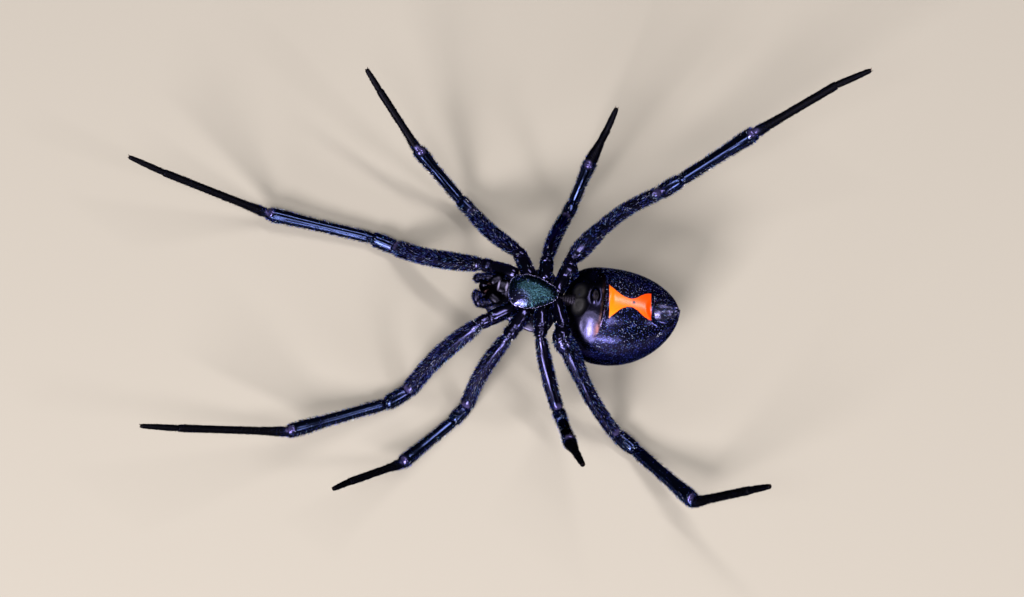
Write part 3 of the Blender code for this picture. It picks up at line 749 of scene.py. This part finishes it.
# The palps are short feelers of six joints beside the jaws, carried like a small pair of legs.
# The left one points ahead; the right one bends round in front of the jaws. Each ends in one small claw.
PALP_ROUTES = {
    "left": (
        (-6.30, 0.60, 4.88), (-6.68, 0.68, 4.82), (-6.92, 0.68, 4.80),
        (-7.16, 0.63, 4.80), (-7.38, 0.55, 4.84), (-7.54, 0.48, 4.90),
    ),
    "right": (
        (-6.30, -0.60, 4.88), (-6.78, -0.80, 4.84), (-7.06, -0.84, 4.86),
        (-7.27, -0.66, 4.92), (-7.32, -0.42, 5.02), (-7.24, -0.22, 5.12),
    ),
}
PALP_RADII = (
    (0.0, 0.16), (0.14, 0.20), (0.19, 0.185), (0.24, 0.205), (0.42, 0.23), (0.47, 0.20), (0.52, 0.225),
    (0.60, 0.23), (0.645, 0.20), (0.69, 0.22), (0.80, 0.225), (0.92, 0.20), (1.0, 0.15),
)
PALP_ENDS, PALP_GRID = (0.05, 0.06), (40, 150)
PALP_CLAW = dict(length=0.14, bend=0.5)
PALP_CLAW_SUNK = 0.02
CLAW = dict(radii=((0.0, 0.034), (0.5, 0.024), (1.0, 0.005)), ends=(0.05, 0.02), grid=(8, 14))
CLAW_PLACES = (-0.15, 0.25, 0.6, 1.0)  # shares of its length that its route runs through


def claw(root, ahead, down, length, bend):
    """One hooked claw that leaves its root along ahead and curls towards down."""
    root, ahead, down = (np.array(v) for v in (root, ahead, down))
    route = [root + ahead * length * s + down * length * bend * s * s for s in CLAW_PLACES]
    return tube_skin(route, **CLAW)


palp_surfaces = {}
claw_horn = plain_cuticle("claw_horn", (0.07, 0.04, 0.035), roughness=0.24, grain=12.0, depth=0.0005)
for side_name, route in PALP_ROUTES.items():
    palp_surfaces[side_name] = tube_surface(route, PALP_RADII, PALP_ENDS)
    palp = wrapped(PALP_GRID, palp_surfaces[side_name])
    piece(f"palp_skin_{side_name}", palp, jaw, "jaw_shell", f"palp_{side_name}")
    before, last = np.array(route[-2:])
    ahead = (last - before) / np.linalg.norm(last - before)
    hook = claw(last - ahead * PALP_CLAW_SUNK, ahead, (0, 0, 1), **PALP_CLAW)
    piece(f"palp_claw_{side_name}", hook, claw_horn, "jaw_shell")

# The spinnerets are three pairs of little silk cones on a short collar at the hind end. Their skin is
# softer and duller than the abdomen's, and they grow out of it in one piece.
SPINNERET_PLACE = np.array((2.98, 0.0, 4.76))
SPINNERET_RISE = math.radians(26)
SPINNERET_CONES = ((0.17, 0.15, 0.36), (-0.04, 0.19, 0.30), (-0.19, 0.09, 0.34))  # above, aside, long
CONE = dict(
    radii=((0.0, 0.125), (0.30, 0.12), (0.55, 0.105), (0.62, 0.085), (0.85, 0.06), (1.0, 0.035)),
    ends=(0.05, 0.08), grid=(24, 36),
)
CONE_SUNK = 0.1
CONES_MEET = 0.5  # share of its way aside that a cone's tip comes back
COLLAR_PLACES = (-0.80, -0.40, 0.0, 0.36)  # along the tail's axis
COLLAR_RADII = ((0.0, 0.72), (0.30, 0.66), (0.55, 0.54), (0.75, 0.44), (0.90, 0.39), (1.0, 0.34))
COLLAR_ENDS, COLLAR_GRID = (0.1, 0.22), (64, 70)

silk = plain_cuticle(
    "spinneret_skin", (0.038, 0.036, 0.075), roughness=0.26, grain=22.0, depth=0.003, dents=10.0,
)
tail_axis = np.array((math.cos(SPINNERET_RISE), 0.0, math.sin(SPINNERET_RISE)))
tail_over = np.array((-tail_axis[2], 0.0, tail_axis[0]))
collar_route = [SPINNERET_PLACE + tail_axis * out for out in COLLAR_PLACES]
collar_surface = tube_surface(collar_route, COLLAR_RADII, COLLAR_ENDS)
spinner_parts = [wrapped(COLLAR_GRID, collar_surface)]
for over, aside, length in SPINNERET_CONES:
    for side in (1, -1):
        root = SPINNERET_PLACE + tail_over * over + np.array((0, side * aside, 0))
        end = root + tail_axis * (length + CONE_SUNK) - np.array((0, side * aside * CONES_MEET, 0))
        spinner_parts.append(tube_skin([root, root + (end - root) * 0.5, end], **CONE))
piece("spinneret_skin", joined(spinner_parts), silk, "spinneret_shell", "spinnerets")

# Each leg is a chain of seven hard tubes, coxa to tarsus, joined by soft rings of wrinkled skin.
# The knee and the far joint show a smooth violet pad on the belly side. The skin runs over all of
# a leg as one piece. Its joints are read from the solids, so it keeps their pose.
LEG_KINDS = ("coxa", "femur", "patella", "tibia", "metatarsus", "tarsus")
LEG_RADII = {  # pair: radius of each segment
    1: (0.42, 0.39, 0.49, 0.43, 0.40, 0.25, 0.20),
    2: (0.43, 0.40, 0.43, 0.39, 0.39, 0.25, 0.20),
    3: (0.41, 0.38, 0.40, 0.38, 0.39, 0.25, 0.21),
    4: (0.41, 0.38, 0.42, 0.43, 0.44, 0.28, 0.22),
}
LEG_COAT = (0.03, 0.03, 0.045, 0.04, 0.04, 0.04, 0.035)  # how far the skin lies inside each solid
TROCHANTER_SHARE = 0.68  # where the coxa ends in the first solid
ROOT_REACH = {1: 0.12, 2: 0.16, 3: 0.16, 4: 0.22}  # reach into the body, as a share of the first solid
BODY_MIDDLE = np.array((-4.3, 0.0, 4.9))
SEGMENT_SHAPES = (  # for each segment: share of its length, share of its radius
    ((0.0, 0.78), (0.10, 0.90), (0.35, 1.0), (0.75, 1.0), (0.90, 0.93), (0.97, 0.82), (1.0, 0.76)),
    ((0.0, 0.82), (0.14, 0.98), (0.40, 1.02), (0.72, 0.98), (0.88, 0.86), (1.0, 0.74)),
    ((0.0, 0.60), (0.02, 0.68), (0.05, 0.82), (0.16, 0.94), (0.34, 1.0), (0.55, 0.98), (0.75, 0.93),
     (0.93, 0.92), (0.972, 0.88), (0.988, 0.78), (1.0, 0.70)),
    ((0.0, 0.74), (0.05, 0.84), (0.16, 0.96), (0.45, 1.0), (0.75, 0.97), (0.90, 0.93), (0.96, 0.82),
     (1.0, 0.74)),
    ((0.0, 0.68), (0.02, 0.72), (0.06, 0.82), (0.30, 0.80), (0.60, 0.84), (0.85, 0.99), (0.94, 1.0),
     (0.975, 0.90), (1.0, 0.68)),
    ((0.0, 1.08), (0.05, 1.20), (0.14, 1.04), (0.30, 0.93), (0.60, 0.91), (0.92, 0.93), (0.98, 0.90),
     (1.0, 0.84)),
    ((0.0, 0.84), (0.04, 0.94), (0.15, 1.0), (0.50, 0.92), (0.80, 0.80), (0.94, 0.70), (0.985, 0.50),
     (1.0, 0.0)),
)
SWELLS = {(3, 5): (0.40, 0.20, 0.50), (4, 2): (0.34, 0.12, 0.26)}  # pair, segment: share, place, spread
LEG_SIDES = 32
LOBES = {  # a bulge to one side of a hind trochanter: its reach, and its place and spread along the leg
    "leg_4_left": dict(reach=(0.28, 0.03, -0.05), place=-0.75, spread=0.62),
    "leg_4_right": dict(reach=(-0.34, -0.12, 0.0), place=0.0, spread=0.85),
}
RINGS_PER_MM = 6
RINGS_PER_END = 24
CROWDING = 0.8  # how much closer the rings lie at a joint than half way between two
MITRE = 0.28  # how far from a joint the rings start to turn towards the next segment
BELLY_SIDE = 0.25  # the value of u on the side that faces up
PADS = ((3, -0.26, 0.34), (5, -0.06, 0.28))  # joint, how far past it, half length
PAD_HALF_WIDTH = 0.12  # share of the way round
PAD_RISE, PAD_SOFTNESS = 0.045, 0.8
WRINKLED_JOINTS = (1, 2)
WRINKLE = dict(height=0.018, reach=0.42, spacing=0.13)
FLOOR_GAP = 0.012  # the least height of the skin
TIP_FADE = 0.02  # how far before the tip the pads end
MIDDLE_BAND = 0.08  # share of its length each side of a solid's middle in which its bow is measured
FEMUR = 2


def pair_of(name):
    return int(name.split("_")[1])


def solid_line(node):
    """The centres of the two end faces of a leg solid, and its sideways bow between them."""
    bm = bmesh.new()
    bm.from_mesh(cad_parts[node].data)
    bmesh.ops.remove_doubles(bm, verts=bm.verts, dist=WELD * MM)
    bmesh.ops.dissolve_limit(bm, angle_limit=math.radians(1), verts=bm.verts, edges=bm.edges)
    off_floor = [face for face in bm.faces if face.calc_center_median().z > 2 * WELD * MM]
    ends = sorted(off_floor, key=lambda face: len(face.verts))[-2:]
    first, last = (np.array(face.calc_center_bounds() / MM) for face in ends)
    chord = last - first
    points = np.array([vertex.co / MM for vertex in bm.verts])
    bm.free()
    share = (points - first) @ chord / (chord @ chord)
    near = points[np.abs(share - 0.5) < MIDDLE_BAND]
    bow = (near.min(0) + near.max(0)) / 2 - (first + last) / 2 if len(near) else np.zeros(3)
    return first, last, bow


def leg_line(name):
    """A leg's joints, root to tip, and the bow of its femur."""
    ends, before = [], BODY_MIDDLE
    for kind in LEG_KINDS:
        first, last, bow = solid_line(f"{name}_{kind}")
        if np.linalg.norm(last - before) < np.linalg.norm(first - before):
            first, last = last, first
        if kind == "femur":
            femur_bow = bow * (1, 1, 0)
        ends.append((first, last))
        before = last
    joints = [ends[0][0]]
    joints += [(a[1] + b[0]) / 2 for a, b in zip(ends, ends[1:])]
    joints.append(ends[-1][1])
    trochanter = joints[0] + (joints[1] - joints[0]) * TROCHANTER_SHARE
    joints[0] = joints[0] + (joints[0] - joints[1]) * ROOT_REACH[pair_of(name)]
    joints.insert(1, trochanter)
    return np.array(joints), femur_bow


def leg_rings(name):
    """The rings of a leg's skin: place along the chain, centre, the two ways across and radius of each."""
    pair = pair_of(name)
    joints, femur_bow = leg_line(name)
    chords = np.diff(joints, axis=0)
    lengths = np.linalg.norm(chords, axis=1)
    axes = chords / lengths[:, None]
    chain, centres, tangents, radii = [], [], [], []
    for k, length in enumerate(lengths):
        count = int(RINGS_PER_END + RINGS_PER_MM * length)
        even = np.linspace(0, 1, count, endpoint=k == len(lengths) - 1)
        f = even - CROWDING * np.sin(2 * np.pi * even) / (2 * np.pi)
        bend = np.zeros((count, 3))
        if k == FEMUR:
            bend = femur_bow * np.sin(np.pi * f)[:, None]
        centres.append(joints[k] + chords[k] * f[:, None] + bend)
        tangent = axes[k] + np.gradient(bend, axis=0) / (np.gradient(f) * length)[:, None]
        for joint, other in ((0.0, k - 1), (1.0, k + 1)):
            if 0 <= other < len(lengths):
                near = bump(np.abs(f - joint) * length / MITRE) * 0.5
                tangent = tangent + (axes[other] - axes[k]) * near[:, None]
        tangents.append(tangent / np.linalg.norm(tangent, axis=1)[:, None])
        thick = flow(SEGMENT_SHAPES[k], f)
        if (pair, k) in SWELLS:
            more, middle, spread = SWELLS[pair, k]
            thick = thick + more * bump(np.abs(f - middle) / spread)
        radii.append(thick * (LEG_RADII[pair][k] - LEG_COAT[k]))
        chain.append(k + f)
    centres, tangents, radii, chain = (np.concatenate(part) for part in (centres, tangents, radii, chain))
    if name in LOBES:
        lobe = LOBES[name]
        past = from_joint(chain, lengths, FEMUR)
        share = bump(np.abs(past - lobe["place"]) / lobe["spread"])
        centres = centres + np.array(lobe["reach"]) * share[:, None] / 2
        radii = radii + np.linalg.norm(lobe["reach"]) * share / 2
    across = np.cross(tangents, (0, 0, 1.0))
    across /= np.linalg.norm(across, axis=1)[:, None]
    over = np.cross(across, tangents)
    return dict(chain=chain, centre=centres, across=across, over=over, radius=radii, lengths=lengths)


def from_joint(chain, lengths, joint):
    """How far along the leg a place lies past a joint, in mm."""
    k = np.clip(chain.astype(int), 0, len(lengths) - 1)
    starts = np.concatenate(([0], np.cumsum(lengths)))
    return starts[k] + (chain - k) * lengths[k] - starts[joint]


def pads(u, chain, lengths):
    """1 on the smooth violet pads of the knee and the far joint."""
    whole = np.zeros(len(u))
    for joint, past, half in PADS:
        away = (from_joint(chain, lengths, joint) - past) / half
        whole = whole + plateau(np.hypot(away, (u - BELLY_SIDE) / PAD_HALF_WIDTH), PAD_SOFTNESS)
    return whole


def leg_surface(rings):
    places = np.linspace(0, 1, len(rings["chain"]))

    def at(v, table):
        if table.ndim == 1:
            return np.interp(v, places, table)
        return np.stack([np.interp(v, places, table[:, i]) for i in range(3)], axis=-1)

    def surface(u, v):
        v = np.clip(v, 0, 1)
        chain = at(v, rings["chain"])
        around = u - np.floor(u)
        radius = at(v, rings["radius"])
        tip = np.clip((len(SEGMENT_SHAPES) - chain) / TIP_FADE, 0, 1)
        for joint in WRINKLED_JOINTS:
            past = from_joint(chain, rings["lengths"], joint)
            wave = np.cos(2 * np.pi * past / WRINKLE["spacing"])
            radius = radius - WRINKLE["height"] * bump(np.abs(past) / WRINKLE["reach"]) * wave
        radius = radius + PAD_RISE * pads(around, chain, rings["lengths"]) * tip
        turn = 2 * np.pi * u[:, None]
        out = at(v, rings["across"]) * np.cos(turn) + at(v, rings["over"]) * np.sin(turn)
        point = at(v, rings["centre"]) + radius[:, None] * out
        point[:, 2] = np.maximum(point[:, 2], FLOOR_GAP)
        return point

    return surface, at


LEG_TINTS = (  # painted mask, colour: its far half is bluer than its root, and the foot black
    ("shank", (0.015, 0.023, 0.060)), ("foot", (0.0045, 0.0042, 0.006)), ("pad", (0.060, 0.050, 0.140)),
)
SHANK = dict(start=2.6, blend=1.2, most=0.85)  # places along the chain of segments
FOOT = dict(start=4.98, blend=0.1, roughness=0.5)
PAD_OWN_COLOUR = 0.30  # how much a pad shows of its own colour

limb, tree, shader, tint, rough = cuticle(
    "leg_cuticle", (0.027, 0.025, 0.062), roughness=0.15, grain=30.0, depth=0.0008, dents=6.0,
)
tint = tinted(tree, tint, LEG_TINTS)
rough = mix_number(tree, painted(tree, "foot"), rough, FOOT["roughness"])
finish_with(tree, shader, tint, rough, work(tree, "MULTIPLY", painted(tree, "pad"), PAD_OWN_COLOUR))

leg_names = [f"leg_{pair}_{side_name}" for pair in (1, 2, 3, 4) for side_name in ("left", "right")]
legs = {}
for name in leg_names:
    rings = leg_rings(name)
    surface, at = leg_surface(rings)
    legs[name] = (rings, surface, at)

    def leg_marks(u, v):
        chain = at(v, rings["chain"])
        return {
            "pad": pads(u, chain, rings["lengths"]),
            "shank": np.clip((chain - SHANK["start"]) / SHANK["blend"], 0, SHANK["most"]),
            "foot": np.clip((chain - FOOT["start"]) / FOOT["blend"], 0, 1),
        }

    skin = wrapped((LEG_SIDES, len(rings["chain"]) - 1), surface, leg_marks)
    bmesh.ops.holes_fill(skin, edges=skin.edges, sides=LEG_SIDES + 1)
    nodes = [f"{name}_{kind}" for kind in LEG_KINDS]
    piece(f"{name}_skin", skin, limb, "leg_shell", *nodes)

# Every foot ends in three small hooked claws: a combed pair above and a single one between them.
# They are of hard brown horn and stand in the tip of the last segment.
CLAW_LENGTH = 0.17
CLAW_SUNK = 0.07
PAIRED_CLAW = dict(aside=0.045, splay=0.25, bend=0.55)
MIDDLE_CLAW = dict(above=0.03, share=0.7, bend=0.8)

for name in leg_names:
    rings = legs[name][0]
    centre, across, over = rings["centre"], rings["across"][-1], rings["over"][-1]
    ahead = centre[-1] - centre[-4]
    ahead /= np.linalg.norm(ahead)
    tip = centre[-1] - ahead * CLAW_SUNK
    hooks = []
    for aside in (-1, 1):
        root = tip + across * aside * PAIRED_CLAW["aside"]
        splayed = ahead + across * aside * PAIRED_CLAW["splay"]
        hooks.append(claw(root, splayed, over, CLAW_LENGTH, PAIRED_CLAW["bend"]))
    root, length = tip + over * MIDDLE_CLAW["above"], CLAW_LENGTH * MIDDLE_CLAW["share"]
    hooks.append(claw(root, ahead, over, length, MIDDLE_CLAW["bend"]))
    piece(f"{name}_claws", joined(hooks), claw_horn, "foot_shell")

# The coat is of short dark hairs that lean to the tip of each limb and to the tail. Some gleam blue,
# violet or sea-green. Each is a thin three-sided spike with one bend.
HAIR_TONES = (  # place in the range of tones, colour
    (0.0, (0.002, 0.002, 0.005)), (0.50, (0.007, 0.009, 0.032)), (0.68, (0.022, 0.045, 0.30)),
    (0.83, (0.10, 0.12, 0.62)), (0.90, (0.07, 0.25, 0.48)), (1.0, (0.95, 0.93, 1.0)),
)
PATCH = 0.003  # width of a hair's patch on the unwrapped skin
HAIR_CORNERS = np.array(((0, 0), (1, 0), (0.5, 0), (0, 0.5), (1, 0.5), (0.5, 0.5), (0.5, 1))) * PATCH
HAIR_FACES = np.array((
    (2, 1, 0), (0, 1, 4), (0, 4, 3), (1, 2, 5), (1, 5, 4),
    (2, 0, 3), (2, 3, 5), (3, 4, 6), (4, 5, 6), (5, 3, 6),
))
BEND = math.radians(16)
BEND_WIDTH = 0.62  # share of its width that is left at the bend
ROOT_SUNK = 1.2  # depth of its root under the skin, in widths
HAIR_SPREAD = dict(length=(0.65, 1.3), lean=0.16, sway=0.30)  # shares of the length, then radians
CANDIDATES = 60000  # places tried on each skin


def hair_finish(name, marked):
    """Hair, with the abdomen's marking on it where it grows there."""
    made, tree, shader = new_material(name)
    ramp = add(tree, "ValToRGB", {0: painted(tree, "tone")})
    stops = ramp.color_ramp.elements
    while len(stops) < len(HAIR_TONES):
        stops.new(0.5)
    for stop, (place, colour) in zip(stops, HAIR_TONES):
        stop.position = place
        stop.color = (*colour, 1.0)
    colour = ramp.outputs["Color"]
    if marked:
        marking = add(tree, "Group", {"Edge": HOURGLASS_EDGE}, node_tree=HOURGLASS).outputs
        colour = mix_colour(tree, marking["Mask"], colour, marking["Colour"])
    tree.links.new(colour, shader.inputs["Base Color"])
    shader.inputs["Metallic"].default_value = 0.9
    shader.inputs["Roughness"].default_value = 0.3
    shader.inputs["Specular Tint"].default_value = (*DARK_RIM, 1.0)
    return made


def coat(name, surface, grows, hair, finish, seed):
    """Hairs on a skin: grows gives their number per mm2, hair their length, width, lean and gleam."""
    rng = np.random.default_rng(seed)
    u, v = rng.random((2, CANDIDATES))
    out, along, area = stands_out(surface, u, v)
    chance = grows(u, v, surface(u, v)) * area / CANDIDATES
    kept = rng.random(CANDIDATES) < chance
    u, v, out, along = u[kept], v[kept], out[kept], along[kept]
    root = surface(u, v)
    count = len(u)
    length, width, lean, gleam = (np.broadcast_to(values, count) for values in hair(u, v, root))
    length = length * rng.uniform(*HAIR_SPREAD["length"], count)
    lean = np.radians(lean) + rng.normal(0, HAIR_SPREAD["lean"], count)
    across = np.cross(out, along)
    sway = rng.normal(0, HAIR_SPREAD["sway"], count)[:, None]

    def way(tilt):
        upright = along * np.cos(tilt)[:, None] + out * np.sin(tilt)[:, None]
        return upright * np.cos(sway) + across * np.sin(sway)

    first, second = way(lean + BEND), way(lean - BEND)
    base = root - out * (width * ROOT_SUNK)[:, None]
    middle = base + first * (length * 0.5)[:, None]
    tip = middle + second * (length * 0.5)[:, None]
    lift = np.cross(across, first)
    ring = [(math.cos(a), math.sin(a)) for a in (0.5, 0.5 + 2 * math.pi / 3, 0.5 + 4 * math.pi / 3)]
    points = [base + (across * c + lift * s) * width[:, None] for c, s in ring]
    points += [middle + (across * c + lift * s) * (width * BEND_WIDTH)[:, None] for c, s in ring] + [tip]
    points = np.stack(points, axis=1)
    clear = points[:, :, 2].min(axis=1) > 0
    points, u, v = points[clear], u[clear], v[clear]
    tone = rng.random(len(u)) * gleam[clear]
    per_hair = HAIR_CORNERS.shape[0]
    faces = (np.arange(len(u))[:, None, None] * per_hair + HAIR_FACES[None]).reshape(-1, 3)
    mesh = bpy.data.meshes.new(name)
    mesh.vertices.add(len(u) * per_hair)
    mesh.vertices.foreach_set("co", (points * MM).astype(np.float32).ravel())
    mesh.loops.add(faces.size)
    mesh.loops.foreach_set("vertex_index", faces.astype(np.int32).ravel())
    mesh.polygons.add(len(faces))
    mesh.polygons.foreach_set("loop_start", np.arange(0, faces.size, 3, dtype=np.int32))
    mesh.update(calc_edges=True)
    corners = (np.stack((u, v), axis=1)[:, None] * (1 - PATCH) + HAIR_CORNERS[None]).reshape(-1, 2)
    baked = mesh.uv_layers.new(name="OFBake")
    baked.data.foreach_set("uv", corners[faces.ravel()].astype(np.float32).ravel())
    tones = mesh.attributes.new("tone", "FLOAT", "POINT")
    tones.data.foreach_set("value", np.repeat(tone, per_hair).astype(np.float32))
    mesh.materials.append(finish)
    mesh.shade_smooth()
    obj = placed(name, mesh)
    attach(obj, "root")


fur = hair_finish("hair", False)
belly_fur = hair_finish("belly_hair", True)

# Leg hairs: thick on the femur, knee and tibia, close and very short on the feet. The belly side of the
# coxae and tibiae, and of the third femora, is nearly bare and shines.
LEG_DENSITY = 170.0
LEG_HAIR_WIDTH = 0.0125
LEG_THICKNESS = (  # place along the chain of segments, share of the density
    (0.0, 0.25), (0.5, 0.6), (1.9, 0.7), (2.1, 1.0), (3.0, 1.0), (3.3, 0.8),
    (4.0, 0.8), (4.9, 1.0), (5.1, 1.2), (6.9, 1.2), (7.0, 0.5),
)
LEG_HAIR_LENGTHS = (
    (0.0, 0.11), (1.9, 0.14), (2.1, 0.16), (4.1, 0.17), (4.9, 0.17), (5.3, 0.12), (6.0, 0.10), (7.0, 0.08),
)
LEG_HAIR_LEANS = ((0.0, 28), (2.0, 40), (3.9, 40), (4.2, 47), (4.9, 45), (5.1, 26), (7.0, 20))
LEG_HAIR_GLEAMS = ((0.0, 1.0), (4.9, 1.0), (5.2, 0.52), (7.0, 0.48))  # the feet are dull black
BARE_STRIPES = {  # pair: from where to where along the chain
    1: ((0.0, 1.9), (4.1, 4.93)), 2: ((0.0, 1.9), (4.1, 4.93)),
    3: ((0.0, 3.0), (4.1, 4.9)), 4: ((0.0, 1.9), (4.1, 4.9)),
}
STRIPE_HALF_WIDTH = 0.11
STRIPE_BARE, PAD_BARE = 0.92, 0.9  # shares of the hairs that are missing there

for number, name in enumerate(leg_names):
    rings, surface, at = legs[name]

    def leg_grows(u, v, point):
        chain = at(v, rings["chain"])
        along = sum((chain > start) & (chain < end) for start, end in BARE_STRIPES[pair_of(name)])
        bare = along * plateau(np.abs(u - BELLY_SIDE) / STRIPE_HALF_WIDTH, 0.5)
        on_pad = np.clip(pads(u, chain, rings["lengths"]), 0, 1)
        thick = LEG_DENSITY * flow(LEG_THICKNESS, chain)
        return thick * (1 - STRIPE_BARE * bare) * (1 - PAD_BARE * on_pad)

    def leg_hair(u, v, point):
        chain = at(v, rings["chain"])
        length, lean = flow(LEG_HAIR_LENGTHS, chain), flow(LEG_HAIR_LEANS, chain)
        return length, LEG_HAIR_WIDTH, lean, flow(LEG_HAIR_GLEAMS, chain)

    coat(f"{name}_coat", surface, leg_grows, leg_hair, fur, seed=100 + number)

# Body hairs: short and swept back over the abdomen, sparse on its bare front plates and over the
# hourglass, and very short on the carapace, breastplate and palps.
ABDOMEN_HAIR = dict(density=190.0, length=0.13, width=0.0115, lean=22.0)
PLATES_BARE = 0.95
HOURGLASS_HAIRS = 0.08  # share of the hairs that is left on it
# Painted shade: hairs on the abdomen's sides and back, and at its front by the waist, get darker tones where
# the body turns away from the light.
SHADED_FLANK, SHADED_FRONT = 0.55, -0.9  # how high on the side, and how far ahead, the hairs turn darker, as painted shade
SHADE_DIMMING = 0.35
BODY_HAIR_WIDTH = 0.012
PALP_HAIR = dict(density=240.0, length=0.14, lean=38.0, gleam=0.85)


def belly_grows(u, v, point):
    x, y = point[:, 0], point[:, 1]
    up = np.sin(2 * np.pi * u) > 0
    bare = front_plates(x, y) * up
    start, end = HOURGLASS_X
    share = np.clip((x - start) / (end - start), 0, 1)
    marked = up & (x > start) & (x < end) & (np.abs(y) < flow(HOURGLASS_CURVE, share))
    return ABDOMEN_HAIR["density"] * (1 - PLATES_BARE * bare) * np.where(marked, HOURGLASS_HAIRS, 1.0)


def belly_hair(u, v, point):
    # Darker tones on the flanks and at the front are painted shade.
    flank = np.clip((SHADED_FLANK - np.sin(2 * np.pi * u)) / 0.5, 0, 1)
    ahead = np.clip((SHADED_FRONT - point[:, 0]) / 0.5, 0, 1)
    gleam = (1 - SHADE_DIMMING * flank) * (1 - SHADE_DIMMING * ahead)
    return ABDOMEN_HAIR["length"], ABDOMEN_HAIR["width"], ABDOMEN_HAIR["lean"], gleam


def even_coat(name, surface, slot, seed, density, length, lean, gleam=1.0, until=1.0):
    """A coat that is the same all along a skin, or as far as until."""
    def grows(u, v, point):
        return density * (v < until)

    def hair(u, v, point):
        return length, BODY_HAIR_WIDTH, lean, gleam

    coat(name, surface, grows, hair, fur, seed)


coat("abdomen_coat", abdomen_surface, belly_grows, belly_hair, belly_fur, seed=201)
even_coat("carapace_coat", carapace_surface, "breast_shell", 211, density=40.0, length=0.09, lean=20.0)
even_coat(
    "sternum_coat", sternum_surface, "breast_shell", 212, density=90.0, length=0.10, lean=18.0, until=0.5,
)
even_coat("spinneret_coat", collar_surface, "spinneret_shell", 213, density=110.0, length=0.12, lean=24.0)
for number, (side_name, surface) in enumerate(palp_surfaces.items()):
    even_coat(f"palp_coat_{side_name}", surface, "jaw_shell", 221 + number, **PALP_HAIR)

# The floor is a plain pale sheet. The light is soft: an even pale surround, a key and a low strip from the
# spider's right, a lamp overhead that draws the gleam along the limbs, and two weaker ones, one straight
# above the belly and one over the tail.
FLOOR_HALF = 600.0
FLOOR_COLOUR, FLOOR_ROUGHNESS = (0.315, 0.284, 0.238, 1), 0.9
LIGHT_DISTANCE = 320.0
LIGHTS = (  # name, way towards it as shares of the camera's axes, width and height, power, colour
    ("key", (-0.38, -0.48, 0.79), (120.0, 84.0), 1.60, (1.0, 0.97, 1.0)),
    ("top", (0.28, 0.60, 0.75), (280.0, 36.0), 0.60, (1.0, 0.98, 1.0)),
    ("front", (-0.20, -0.10, 0.97), (150.0, 80.0), 0.50, (1.0, 0.98, 1.0)),
    ("tail", (0.62, -0.22, 0.75), (70.0, 60.0), 0.40, (0.97, 0.95, 1.0)),
    ("strip", (-0.28, -0.79, 0.52), (200.0, 50.0), 0.90, (0.95, 0.95, 1.0)),
)
SURROUND, SURROUND_STRENGTH = (0.88, 0.92, 1.0, 1), 0.06

floor_bm = bmesh.new()
bmesh.ops.create_grid(floor_bm, x_segments=1, y_segments=1, size=FLOOR_HALF * MM)
floor_mesh = bpy.data.meshes.new("floor")
floor_bm.to_mesh(floor_mesh)
floor_bm.free()
pale, tree, shader = new_material("pale_floor")
shader.inputs["Base Color"].default_value = FLOOR_COLOUR
shader.inputs["Roughness"].default_value = FLOOR_ROUGHNESS
floor_mesh.materials.append(pale)
floor = placed("floor", floor_mesh)

for name, (right, over, back), (wide, high), power, colour in LIGHTS:
    lamp = bpy.data.lights.new(name, "AREA")
    lamp.shape = "RECTANGLE"
    lamp.size, lamp.size_y = wide * MM, high * MM
    lamp.energy = power
    lamp.color = colour
    way = (picture_right * right + picture_up * over + to_camera * back).normalized()
    lamp_place = Matrix.Translation(way * LIGHT_DISTANCE * MM)
    placed(name, lamp).matrix_world = lamp_place @ way.to_track_quat("Z", "Y").to_matrix().to_4x4()

world = bpy.data.worlds.new("studio")
world.use_nodes = True
surround = world.node_tree.nodes["Background"].inputs
surround["Color"].default_value = SURROUND
surround["Strength"].default_value = SURROUND_STRENGTH
bpy.context.scene.world = world
bpy.context.scene.view_settings.view_transform = "Standard"
